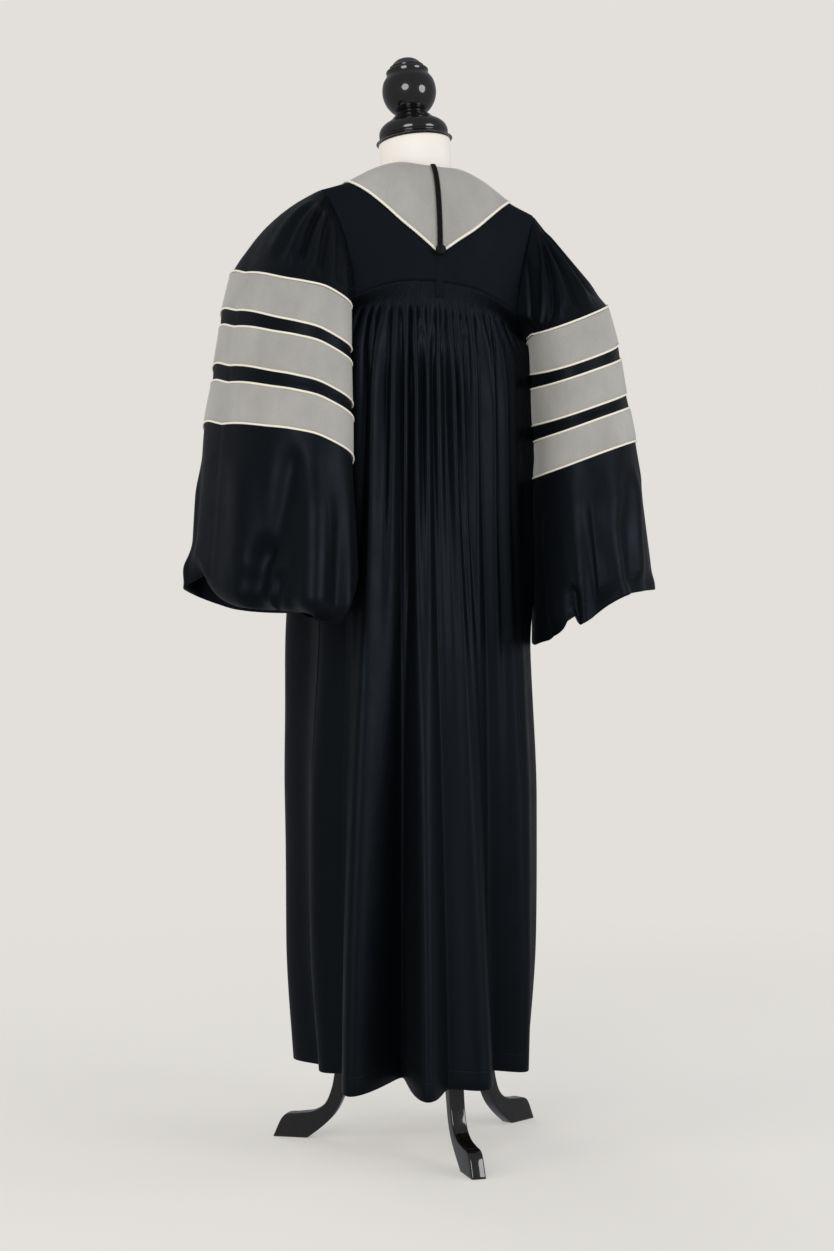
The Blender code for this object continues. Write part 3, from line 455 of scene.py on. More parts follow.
HEM_WAVE_RIGHT = (
    (0.0, 0.004),
    (1.0, 0.004),
    (2.0, 0.006),
    (3.0, 0.010),
    (4.0, 0.016),
    (5.0, 0.006),
    (6.0, 0.000),
    (6.4, 0.020),
    (6.8, 0.000),
    (7.4, -0.007),
    (8.4, -0.010),
    (9.3, -0.014),
    (11.0, -0.008),
    (14.0, 0.000),
    (16.5, 0.006),
    (19.0, 0.004),
)

BUTTON = (  # radius, height
    (0.0000, 0.0000),
    (0.0058, 0.0000),
    (0.0072, 0.0008),
    (0.0079, 0.0024),
    (0.0077, 0.0042),
    (0.0064, 0.0058),
    (0.0042, 0.0067),
    (0.0018, 0.0071),
    (0.0000, 0.0071),
)
TAB_HALF = 0.31  # half the tab's width, in columns of the yoke
TAB_STEPS = 60  # points down the tab as far as the seam

YOKE_HALF = 12  # columns of the back yoke from the centre to the shoulder ridge
SEAM_COLS = 6  # of those, the ones along the yoke seam
YOKE_COLUMNS = np.linspace(-YOKE_HALF, YOKE_HALF, 241)
FRONT_FOOT = 1 + CHEST_Z - HEM_Z  # the fronts' hem, counted down from the ridge: 1 is the chest
TRIM_LIFT = SEAM + VELVET  # from the cloth to the outer face of what is sewn on it

UP = np.array([0.0, 0.0, 1.0])
LEVEL = np.array([1.0, 1.0, 0.0])  # keeps the two level parts of a direction
AXIS = np.array([0.0, AXIS_Y, 0.0])
CHEST_MIDDLE = np.array([0.0, AXIS_Y, 1.20])
YOKE_MIDDLE = np.array([0.0, AXIS_Y, 1.25])
PLACE = np.array([0.0, -MIDDLE_Y, 0.0])  # from the tables to the part's own place

# ---------------------------------------------------------------- tables to curves
def curve(table, x, column=1):
    """Smooth value of a table's column at x: cubic pieces, mean slopes, no overshoot."""
    xs = np.array([row[0] for row in table], float)
    ys = np.array([row[column] for row in table], float)
    steps = np.diff(ys) / np.diff(xs)
    mean = (steps[1:] + steps[:-1]) / 2
    least = 3 * np.minimum(np.abs(steps[1:]), np.abs(steps[:-1])) * (steps[1:] * steps[:-1] > 0)
    slopes = np.concatenate([steps[:1], np.clip(mean, -least, least), steps[-1:]])
    x = np.clip(np.asarray(x, float), xs[0], xs[-1])
    k = np.clip(np.searchsorted(xs, x, "right") - 1, 0, len(xs) - 2)
    h = xs[k + 1] - xs[k]
    t = (x - xs[k]) / h
    return (
        ys[k] * (1 + 2 * t) * (1 - t) ** 2
        + slopes[k] * h * t * (1 - t) ** 2
        + ys[k + 1] * t * t * (3 - 2 * t)
        - slopes[k + 1] * h * t * t * (1 - t)
    )


def folds(table, degrees):
    """Fold depth round a section: half a cosine wave from each row to the next."""
    xs, ys = np.array(table, float).T
    degrees = np.clip(degrees, xs[0], xs[-1])
    k = np.clip(np.searchsorted(xs, degrees, "right") - 1, 0, len(xs) - 2)
    t = (degrees - xs[k]) / (xs[k + 1] - xs[k])
    return ys[k] + (ys[k + 1] - ys[k]) * (0.5 - 0.5 * np.cos(np.pi * t))


def ease(t):
    """Smooth step from 0 to 1: three t squared less two t cubed."""
    t = np.clip(t, 0.0, 1.0)
    return t * t * (3 - 2 * t)


# ---------------------------------------------------------------- the gown's surfaces
def shoulder(x, turn, front):
    """Shoulder: a quarter superellipse from the ridge (turn 0) to the seam or chest (turn 1)."""
    half = np.abs(x)
    a = np.clip(turn, 0, 1) * np.pi / 2
    low = CHEST_Z if front else curve(YOKE_SEAM, half)
    depth = -curve(CHEST, half) if front else curve(YOKE_SEAM, half, 2)
    y = depth * np.sin(a) ** SHOULDER_POWER
    z = low + (curve(RIDGE, half) - low) * np.cos(a) ** SHOULDER_POWER
    return np.stack(np.broadcast_arrays(x, y, z), -1)


def turn_at(x, z):
    """The yoke's turn where it is z high at x."""
    low, top = curve(YOKE_SEAM, x), curve(RIDGE, x)
    share = np.clip((z - low) / (top - low), 0, 1)
    return np.arccos(share ** (1 / SHOULDER_POWER)) / (np.pi / 2)


def section(degrees, z):
    """Radius of the hanging cloth from the body's axis, folds and all."""
    a = np.radians(degrees)
    half, back, front, power = (curve(SECTIONS, z, c) for c in (1, 2, 3, 4))
    deep = np.where(np.cos(a) > 0, back, front)
    plain = ((np.abs(np.sin(a)) / half) ** power + (np.abs(np.cos(a)) / deep) ** power) ** (-1 / power)
    flare = np.cos(np.clip((np.abs(degrees) - FLARE_ANGLE) / FLARE_SPREAD, -1, 1) * np.pi / 2) ** 2
    return (
        plain
        + folds(FLUTES, degrees) * curve(FLUTE_FADE, z)
        + folds(PLEATS, degrees) * curve(PLEAT_FADE, z)
        + flare * FLARE * curve(FLARE_FADE, z)
    )


def polar(degrees, radius, z):
    """A point radius from the body's axis, at an angle round from the back."""
    a = np.radians(degrees)
    return np.stack(np.broadcast_arrays(radius * np.sin(a), AXIS_Y + radius * np.cos(a), z), -1)


def hanging(top, degrees, z, drop_z):
    """Cloth that hangs from a row of top points and takes the section's form 0.1 m lower."""
    radius = np.hypot(top[..., 0], top[..., 1] - AXIS_Y)
    w = ease((drop_z - z) / 0.10)
    return polar(degrees, radius * (1 - w) + section(degrees, z) * w, z)


def angle_of(point):
    """Degrees round from the back, the wearer's left being positive."""
    return np.degrees(np.arctan2(point[..., 0], point[..., 1] - AXIS_Y))


def side_angle(z):
    """Where the side seam lies at a height: a straight line from the armpit to the hem."""
    return ARMPIT_ANGLE + (SIDE_ANGLE - ARMPIT_ANGLE) * (ARMPIT_Z - z) / (ARMPIT_Z - HEM_Z)


def sagged(points):
    """The gown as it was hung: lower at the wearer's right shoulder, level again by the waist."""
    share = ease((points[..., 2] - 0.9) / 0.3)
    out = points.copy()
    out[..., 2] += SAG * points[..., 0] * share
    return out


# ---------------------------------------------------------------- the gown's panels
def yoke_at(k, row):
    """Back yoke. k counts columns from the centre back to the shoulder ridge, row runs from the
    neck (0) by the velvet's edge (2) to the seam and armhole (5); both lie on the shoulder."""
    side, half = np.where(k < 0, -1.0, 1.0), np.abs(k)
    share = half / YOKE_HALF
    neck_x = NECK_HALF * np.sin(share * np.pi / 2)
    neck_turn = NECK_BACK_TURN * np.cos(share * np.pi / 2)
    v_x = FACING_HALF * (1 - (1 - share) ** 1.15)
    v_turn = turn_at(v_x, curve(NECK_V, v_x))
    arm = np.clip(1 - (half - SEAM_COLS) / (YOKE_HALF - SEAM_COLS), 0, 1) ** 1.25
    on_seam = half <= SEAM_COLS
    edge_x = np.where(on_seam, SEAM_HALF * half / SEAM_COLS, curve(ARMHOLE, arm))
    edge_turn = np.where(on_seam, 1.0, arm)
    t, b = np.clip(row / 2, 0, 1), np.clip((row - 2) / 3, 0, 1)
    x = neck_x + (v_x - neck_x) * t + (edge_x - v_x) * b
    turn = neck_turn + (v_turn - neck_turn) * t + (edge_turn - v_turn) * b
    return sagged(shoulder(x * side, turn, False))


def back_flat(share, level):
    """Back panel before it sags: it hangs from the yoke seam and takes the section's form."""
    top = shoulder(SEAM_HALF * share, 1.0, False)
    z = level + (top[..., 2] - CHEST_Z) * ease((level - 0.95) / (CHEST_Z - 0.95))
    w = ease((CHEST_Z - level) / (CHEST_Z - ARMPIT_Z))
    wide = np.where(
        level <= ARMPIT_Z,
        share * side_angle(level),
        angle_of(top) * (1 - w) + share * ARMPIT_ANGLE * w,
    )
    z = z - HEM_DROP * folds(FLUTES, wide) * ease((0.30 - level) / (0.30 - HEM_Z))
    return hanging(top, wide, z, top[..., 2])


def chest_row(side, across):
    """The front's row at the chest: the facing for across 0 to 1, the panel beyond it to 2."""
    return front_upper(side, across, 1.0)


def front_upper(side, across, turn):
    """Front from the shoulder ridge (turn 0) to the chest (turn 1)."""
    inner, outer = curve(FRONT_EDGES, turn), curve(FRONT_EDGES, turn, 2)
    arm = curve(ARMHOLE, turn, 2)
    x = inner + (outer - inner) * np.clip(across, 0, 1) + (arm - outer) * np.clip(across - 1, 0, 1)
    return shoulder(x * side, turn, True)


def front_flat(side, across, level):
    """Front below the chest: it hangs from the chest row, its facing kept to its own width."""
    top = chest_row(side, across)
    w = ease((CHEST_Z - level) / (CHEST_Z - ARMPIT_Z))
    arm = chest_row(side, np.full(np.shape(across), 2.0))
    edge = np.abs(angle_of(arm)) * (1 - w) + side_angle(np.minimum(level, ARMPIT_Z)) * w
    turned = np.full(np.shape(level), 40.0)
    for _ in range(6):
        turned = np.degrees(np.arcsin(curve(FACING_DOWN, level) / section(180 - turned, level)))
    near = 180 - turned * np.clip(across, 0, 1) + (edge - 180 + turned) * np.clip(across - 1, 0, 1)
    wide = np.abs(angle_of(top)) * (1 - w) + near * w
    out = hanging(top, side * wide, level, CHEST_Z)
    out[..., 0] = np.where(np.broadcast_to(across, out.shape[:-1]) <= 0, side * FRONT_GAP, out[..., 0])
    return out


def side_gap(side, level):
    """How far the back's own edge lies outside the front's at a level; the seam halves it."""
    level = np.minimum(level, ARMPIT_Z)
    return back_flat(np.float64(side), level) - front_flat(side, np.float64(2.0), level)


def back_at(share, level):
    """Back panel with its side seams drawn half way to the fronts, and sagged with the gown."""
    out = back_flat(share, level)
    reach = np.clip((1.2083 - level) / 0.0133, 0, 1)
    for side in (1, -1):
        near = np.clip(share * side, 0, 1) ** 16 * reach
        out = out - side_gap(side, level) / 2 * near[..., None]
    return sagged(out)


def front_at(side, across, level):
    """Front below the chest, its side seam drawn half way to the back panel."""
    reach = np.clip((1.2050 - level) / 0.0100, 0, 1)
    near = np.clip(across - 1, 0, 1) ** 10 * reach
    return sagged(front_flat(side, across, level) + side_gap(side, level) / 2 * near[..., None])


def armhole_at(side, node):
    """Armhole, counted in nodes: down the yoke and the back to the armpit, up the front."""
    node = np.asarray(node, float) % NODES
    yoke_turn = np.clip(node / 6, 0, 1) ** 1.25
    yoke = sagged(shoulder(side * curve(ARMHOLE, yoke_turn), yoke_turn, False))
    fall = CHEST_Z + (ARMPIT_Z - CHEST_Z) * np.clip((node - 6) / 3, 0, 1)
    back = back_at(np.full(node.shape, float(side)), fall)
    rise = ARMPIT_Z + (CHEST_Z - ARMPIT_Z) * np.clip((node - 9) / 4, 0, 1)
    front = front_at(side, np.full(node.shape, 2.0), rise)
    front_turn = np.clip((NODES - node) / 6, 0, 1) ** 1.25
    upper = sagged(front_upper(side, np.full(node.shape, 2.0), front_turn))
    pick = np.digitize(node, (6, 9, 13))[:, None]
    return np.choose(pick, (yoke, back, front, upper))


def fold_lines(lines, node, row):
    """Sum of long soft folds: each is a bell across its line and fades towards both ends."""
    total = np.zeros(np.broadcast_shapes(node.shape, row.shape))
    for n0, r0, n1, r1, wide, depth in lines:
        along = (row - r0) / (r1 - r0)
        off = (node - (n0 + (n1 - n0) * along) + NODES / 2) % NODES - NODES / 2
        fade = ease(along / 0.25) * ease((1 - along) / 0.22)
        total = total + depth * np.exp(-((off / wide) ** 2)) * fade
    return total


def sleeve_turn(node):
    """Degrees round the sleeve from its top towards the back: the armpit, node 9, is at 180."""
    return np.where(node <= 9, node * 20.0, 180 + (node - 9) * 18.0)


def sleeve_ring(side, node, row):
    """One point of the sleeve's own cone for row 3 and below: a leaning superellipse."""
    turn = sleeve_turn(node)
    c, s = np.cos(np.radians(turn)), np.sin(np.radians(turn))
    k = np.clip(row - 3, 0, 8)
    table = [(float(n), *line) for n, line in enumerate(SLEEVE)]
    ox, oz, ix, iz, my, deep, inward, drop, power = (curve(table, k, col) for col in range(1, 10))
    cc, ss = (np.sign(v) * np.abs(v) ** (2 / power) for v in (c, s))
    out = folds(SLEEVE_FOLDS, turn) * curve(SLEEVE_FADE, np.clip(row, 0, 11))
    x = (ox + ix) / 2 + (ox - ix) / 2 * cc - inward * deep * ss + out * c
    y = my + deep * ss + out * s
    z = (oz + iz) / 2 + (oz - iz) / 2 * cc - drop * np.clip(ss, 0, 1) ** 1.2
    dip = np.clip(-c, 0, 1) ** np.where(s < 0, UNDERARM_POWER[1], UNDERARM_POWER[0])
    z = z - UNDERARM_DIP * dip * ease(4 - row)
    if side > 0:
        z = z + BAG_LIFT * ease((k - 5) / 3) * (1 - cc) / 2
    return sagged(np.stack([x * side, y, z], -1))


def sleeve_base(side, node, row):
    """Sleeve from the armhole (row 0) through its head to the first bar (3) and the hem (11)."""
    node, row = node[:, None], row[None, :]
    turn = np.radians(sleeve_turn(node))
    c, s = np.cos(turn), np.sin(turn)
    t = np.interp(row, (0, 1, 2, 3), (0.0, *HEAD_ROWS, 1.0))[..., None]
    top, sides, under = HEAD_PUFF[side]
    up, down = np.clip(c, 0, 1), np.clip(-c, 0, 1)
    puff = up * top + (1 - np.abs(c)) * sides
    puff = np.stack([puff * 0.76 * up * side, puff * s, puff * 0.65 * up], -1)
    tuck = np.stack([under * down * side, 0 * c, 0 * c], -1)
    first = sleeve_ring(side, node, np.full((1, 1), 3.0))
    arm = armhole_at(side, node[:, 0])[:, None]
    head = arm * (1 - t) + first * t + (puff + tuck * 1.5 * (1 - t)) * np.sin(np.pi * t)
    return np.where((row < 3)[..., None], head, sleeve_ring(side, node, row))


# ---------------------------------------------------------------- normals, edges and meshes
def unit(v):
    """Each vector divided by its length."""
    return v / np.maximum(np.linalg.norm(v, axis=-1, keepdims=True), 1e-12)


def normals_of(grid, outward, ring=False):
    """Unit normals from the differences along the columns and the rows."""
    across = np.roll(grid, -1, 0) - np.roll(grid, 1, 0) if ring else np.gradient(grid, axis=0)
    n = unit(np.cross(across, np.gradient(grid, axis=1)))
    return n * np.where((n * outward).sum() < 0, -1.0, 1.0)


def off_the_body(points):
    """Outward from the body's axis, and up over the shoulders."""
    out = points - CHEST_MIDDLE
    out[..., 2] = np.clip(out[..., 2], 0, None)
    return out


def cusp(phase):
    """Cloth pleats: broad round ridges at 1 and narrow valleys at -1, one to each whole phase."""
    return 2 * np.abs(np.sin(np.pi * phase)) ** 0.65 - 1


def run_of(steps):
    """Distance gone after each of the given steps, from 0."""
    return np.concatenate([[0], np.cumsum(steps)])


def uneven(count, spread, seed):
    """Places of count folds across 0 to 1, each as much as spread wider or narrower."""
    widths = 1 + spread * (2 * np.random.default_rng(seed).random(count) - 1)
    return run_of(widths) / widths.sum()


def turned_under(grid, normals, depth):
    """Adds a hem: the last row rolls round and runs back up inside by depth."""
    last, n = grid[:, -1:], normals[:, -1:]
    down = unit(last - grid[:, -2:-1])
    rows = [grid]
    for out, low in ((-0.0004, 0.0010), (-0.0014, 0.0014), (-0.0024, 0.0008)):
        rows.append(last + n * out + down * low)
    for share in (0.0, 0.35, 0.7, 1.0):
        rows.append(last - n * (0.0030 + 0.003 * share) - down * depth * share)
    return np.concatenate(rows, 1)


def rolled(grid, normals, edges, drop, reach):
    """Rounds a panel's edges down onto what it lies on: a parabola over the last reach metres."""
    out = grid.copy()
    for edge in edges:
        g = grid if edge.endswith("_i") else grid.transpose(1, 0, 2)
        if edge.startswith("last"):
            g = g[::-1]
        steps = np.linalg.norm(np.diff(g, axis=0), axis=-1)
        length = np.concatenate([np.zeros((1, g.shape[1])), np.cumsum(steps, 0)])
        fall = drop * np.clip(1 - length / reach, 0, 1) ** 2
        if edge.startswith("last"):
            fall = fall[::-1]
        out -= normals * (fall if edge.endswith("_i") else fall.T)[..., None]
    return out


def ends_closed(rings, shares):
    """Rings in their first axis, closed at both ends by smaller rings drawn to each end's centre."""
    first, last = rings[:1], rings[-1:]
    starts = [first + (first.mean(1, keepdims=True) - first) * share for share in shares]
    stops = [last + (last.mean(1, keepdims=True) - last) * share for share in shares[::-1]]
    return np.concatenate([*starts, rings, *stops])


def quads_between(ni, nj, cols, rows, u, v):
    """Four-cornered faces between neighbours of an ni by nj grid, closed on itself where cols is
    ni or rows is nj, and their map: u along the first side and v along the second."""
    number = np.arange(ni * nj).reshape(ni, nj)
    i, j = np.meshgrid(np.arange(cols), np.arange(rows), indexing="ij")
    corners = ((0, 0), (1, 0), (1, 1), (0, 1))
    faces = np.stack([number[(i + a) % ni, (j + b) % nj] for a, b in corners], -1)
    uv = np.stack([np.stack([u[i + a], v[j + b]], -1) for a, b in corners], 2)
    return faces.reshape(-1, 4), uv.reshape(-1, 4, 2)


def add_sheet(name, grid, outward, material, ring=False, hem_row=None):
    """Joins a grid of points into quads that face outward, with a map in metres: across the
    cloth, and up it from its hem."""
    ni, nj = grid.shape[:2]
    cols = ni if ring else ni - 1
    across = run_of(np.linalg.norm(np.diff(grid, axis=0), axis=-1).mean(1))
    if ring:
        across = np.append(across, across[-1] + np.linalg.norm(grid[0] - grid[-1], axis=-1).mean())
    along = run_of(np.linalg.norm(np.diff(grid, axis=1), axis=-1).mean(0))
    along = along[nj - 1 if hem_row is None else hem_row] - along
    quads, uv = quads_between(ni, nj, cols, nj - 1, across, along)
    points = grid.reshape(-1, 3) + PLACE
    a, b, c, d = (points[quads[:, k]] for k in range(4))
    facing = (np.cross(c - a, d - b).reshape(cols, nj - 1, 3) * outward[:cols, : nj - 1]).sum()
    if facing < 0:
        quads, uv = quads[:, ::-1], uv[:, ::-1]
    return add_mesh(name, points, quads, uv, material)


def add_mesh(name, points, faces, uv, material):
    """Makes a smooth mesh from whole arrays of points, four-cornered faces and their map."""
    mesh = bpy.data.meshes.new(name)
    mesh.vertices.add(len(points))
    mesh.vertices.foreach_set("co", np.ascontiguousarray(points, np.float32).ravel())
    size = faces.shape[1]
    mesh.loops.add(faces.size)
    mesh.loops.foreach_set("vertex_index", np.ascontiguousarray(faces, np.int32).ravel())
    mesh.polygons.add(len(faces))
    mesh.polygons.foreach_set("loop_start", np.arange(0, faces.size, size, dtype=np.int32))
    mesh.polygons.foreach_set("use_smooth", np.ones(len(faces), bool))
    layer = mesh.uv_layers.new(name="cloth")
    layer.data.foreach_set("uv", np.ascontiguousarray(uv, np.float32).ravel())
    mesh.update(calc_edges=True)
    mesh.validate()
    piece = bpy.data.objects.new(name, mesh)
    bpy.context.scene.collection.objects.link(piece)
    mesh.materials.append(material)
    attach(piece, "root")
    return piece


def add_tube(name, path, ups, across, material, radius, closed=False, flat=1.0, sides=12):
    """A cord: a circle, or an ellipse flat times as tall, carried along a path. Its map is in
    metres: along the cord, and round it."""
    a = np.arange(sides) * 2 * np.pi / sides
    wide, high = (v[None, :, None] * radius for v in (np.cos(a), np.sin(a) * flat))
    rings = path[:, None] + across[:, None] * wide + ups[:, None] * high
    if not closed:
        rings = ends_closed(rings, (0.995, 0.6, 0.25))
    n = len(rings)
    centres = rings.mean(1)
    along = run_of(np.linalg.norm(np.diff(centres, axis=0), axis=-1))
    along = np.append(along, along[-1] + np.linalg.norm(centres[0] - centres[-1]))
    round_it = np.arange(sides + 1) / sides * 2 * np.pi * radius
    faces, uv = quads_between(n, sides, n if closed else n - 1, sides, along, round_it)
    points = rings.reshape(-1, 3) + PLACE
    p = points[faces]
    middle = np.repeat(centres + PLACE, sides, 0)[faces[:, 0]]
    if (np.cross(p[:, 2] - p[:, 0], p[:, 3] - p[:, 1]) * (p.mean(1) - middle)).sum() < 0:
        faces, uv = faces[:, ::-1], uv[:, ::-1]
    return add_mesh(name, points, faces, uv, material)


def add_closed(name, rings, shares, material):
    """A piece from rings of points, closed at both ends."""
    grid = ends_closed(rings, shares).transpose(1, 0, 2)
    return add_sheet(name, grid, grid - grid.mean(0, keepdims=True), material, ring=True)


def stands_for(node):
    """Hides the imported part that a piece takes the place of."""
    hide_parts(node)


def cloth_piece(node):
    """Hides the imported part that a sheet of cloth stands for."""
    stands_for(node)


# ---------------------------------------------------------------- the gown's sheets, folds and all
def rumple(u, v, seed, tall=3.0):
    """Slight unevenness of hung cloth: twelve long waves with seeded directions, -1 to 1.
    u and v are metres across and down; the waves are tall times as long as they are wide."""
    rng = np.random.default_rng(seed)
    total = 0.0
    for _ in range(12):
        size, lean, phase = rng.uniform(18, 60), rng.uniform(-0.5, 0.5), rng.uniform(0, 6.3)
        total = total + np.sin(size * (u * np.cos(lean) + v / tall * np.sin(lean) * 3) + phase) / size
    return total * 6


def yoke_sheet(k, row):
    """Back yoke's outer face and its normals on the given columns and rows. The cloth is pressed
    flat and a little drawn by its seams: it dips by a millimetre at its lower edge."""
    k, row = np.broadcast_arrays(k[:, None], row[None, :])
    base = yoke_at(k, row)
    n = normals_of(base, base - YOKE_MIDDLE)
    slack = 0.0008 * rumple(k * 0.02, row * 0.04, 5) * ease((row - 2.2) / 0.8)
    return base + n * (CLOTH + slack)[..., None], n


def back_sheet(share, level):
    """Back panel's outer face and normals. Under the yoke seam it is gathered into fine ribs,
    cusp waves 3 mm apart; below them fine pleats open, each a cusp between two uneven places,
    grow over 30 mm and die out at their own length into the long flutes."""
    share, level = np.broadcast_arrays(share[:, None], level[None, :])
    base = back_at(share, level)
    n = normals_of(base, (base - AXIS) * LEVEL)
    down = CHEST_Z - level
    half = (share + 1) / 2
    sizes = bpy.context.scene.gown_sizes
    wander = 0.0025 * np.sin(half * 23 + down * 40)
    ribs = cusp((half + wander * 0.6) * sizes.ribs) * RIB_DEPTH * ease(down / 0.003)
    ribs = ribs * (1 - ease((down - RIB_BAND * 0.70) / (RIB_BAND * 0.45)))
    places = uneven(FINE_PLEATS, 0.38, 11)
    rng = np.random.default_rng(12)
    reach, height = rng.uniform(0.08, 0.19, FINE_PLEATS), rng.uniform(0.55, 1.25, FINE_PLEATS)
    drift = half + 0.010 * np.sin(half * 9 + 2) * ease(down / 0.25)
    drift = drift + wander * ease((down - 0.02) / 0.1)
    which = np.clip(np.searchsorted(places, drift, "right") - 1, 0, FINE_PLEATS - 1)
    part = (drift - places[which]) / (places[which + 1] - places[which])
    faded = ease((down - reach[which] * 0.30) / (reach[which] * 0.70))
    live = ease((down - 0.022) / 0.030) * (1 - faded)
    edge = ease((1 - np.abs(share)) / 0.10)
    pleats = cusp(part) * height[which] * sizes.pleat_depth * live * edge
    slack = rumple(half * 0.5, down, 21, 5.0) * 0.0016 * ease((down - 0.10) / 0.35)
    slack = slack + side_fullness((1 - np.abs(share)) / 0.20, level)
    slack = slack + RIDGE_FULL * side_fullness((share - RIDGE_AT) / RIDGE_WIDE, level)
    return base + n * (CLOTH + ribs + pleats + slack)[..., None], n


def side_fullness(off, level):
    """Spare cloth under the arm: a bell, off widths from its middle, from the armpit to 0.72 m."""
    fade = ease((1.200 - level) / 0.035) * ease((level - 0.72) / 0.20)
    return SIDE_FULL * np.exp(-(off**2)) * fade


def front_sheet(side, across, down):
    """One front's outer face and normals. across is 0 to 1 over the velvet facing and 2 at the
    armhole and side seam; down is 0 to 1 from the shoulder ridge to the chest, then metres."""
    across, down = np.broadcast_arrays(across[:, None], down[None, :])
    upper = sagged(front_upper(side, across, np.clip(down, 0, 1)))
    lower = front_at(side, across, np.minimum(CHEST_Z - (down - 1), CHEST_Z))
    base = np.where((down <= 1)[..., None], upper, lower)
    n = normals_of(base, off_the_body(base))
    free = ease((across - 1.05) / 0.3) * ease((down - 1.1) / 0.4) * ease((2 - across) / 0.08)
    slack = rumple(across * 0.25, down, 31 + side, 5.0) * 0.0022 * free
    slack = slack + side_fullness((2 - across) / 0.23, CHEST_Z - (down - 1))
    return base + n * (CLOTH + slack)[..., None], n


def sleeve_plain(side, node, row):
    """One sleeve's outer face before its bottom curls: the plain sleeve, the folds that fall from
    its head, the folds of its mouth and the hem's own wave. The left head has a gathered strip of
    ribs along the armhole, its bars lie in their own waves, and its hem hangs down in a bag."""
    base = sleeve_base(side, node, row)
    n = normals_of(base, base - base.mean(0, keepdims=True), ring=True)
    node, row = node[:, None], row[None, :]
    left, right = (HEAD_FOLDS_LEFT, BAG_FOLDS_LEFT), (HEAD_FOLDS_RIGHT, BAG_FOLDS_RIGHT)
    head, mouth = left if side > 0 else right
    out = fold_lines(head, node, row) + fold_lines(mouth, node, row)
    out = out + rumple(node * 0.045, row * 0.05, 41 + side, 2.5) * 0.0009 * ease((row - 0.5) / 1.0)
    if side > 0:
        strip = ease((node - 1.9) / 0.4) * ease((6.8 - node) / 0.4)
        strip = strip * ease(row / 0.05) * (1 - ease((row - 0.44) / 0.14))
        out = out + cusp(node * ARM_NODE / STRIP_RIB) * STRIP_DEPTH * strip
        corner = np.exp(-(((node - CORNER_AT) / CORNER_WIDE) ** 2)) * ease(row - 9.8)
        out = out + CORNER_OUT * corner
        lift = curve(HEM_WAVE_LEFT, node) * ease((row - 9.0) / 2.0)
        lift = lift - BAG_DEEP * curled(node, BAG_DROP) * ease((row - 8.05) / 2.0)
        on_bars = ease((row - 1.2) / 1.8) * (1 - ease((row - 8.0) / 2.0))
        lift = lift + curve(BAR_RISE_LEFT, node) * on_bars
    else:
        lift = curve(HEM_WAVE_RIGHT, node) * ease((row - 9.6) / 1.4)
    return base + n * (CLOTH + out)[..., None] + UP * lift[..., None], n


def curled(node, share=1.0):
    """How much of the left sleeve's hem is curled under: all of it across the back of the bag,
    or across the given share of the bag's width."""
    off = (node - BAG_MIDDLE + NODES / 2) % NODES - NODES / 2
    return np.exp(-((off / (BAG_REACH * share)) ** 8))


def sleeve_sheet(side, node, row):
    """One sleeve's outer face and normals. Below row 10 the left one is puffed into a bag: where
    it is curled its cloth follows a circle, down and in, and its hem ends up inside."""
    grid, n = sleeve_plain(side, node, row)
    if side > 0 and row.max() > 10:
        end, end_n = sleeve_plain(side, node, np.array([9.9, 10.0]))
        down, inward = unit(end[:, 1:] - end[:, :1]), -end_n[:, 1:]
        turn = (row[None, :, None] - 10) * BAG_CURL / BAG_ROUND
        arc = end[:, 1:] + BAG_ROUND * (np.sin(turn) * down + (1 - np.cos(turn)) * inward)
        share = (curled(node)[:, None] * (row[None, :] > 10))[..., None]
        grid = grid * (1 - share) + arc * share
    return grid, normals_of(grid, n, ring=True)


def spread(*parts):
    """Places along a side: each part is (start, end, steps) and begins where the last one ended."""
    runs = [np.linspace(a, b, n, endpoint=False) for a, b, n in parts]
    return np.concatenate([*runs, [parts[-1][1]]])


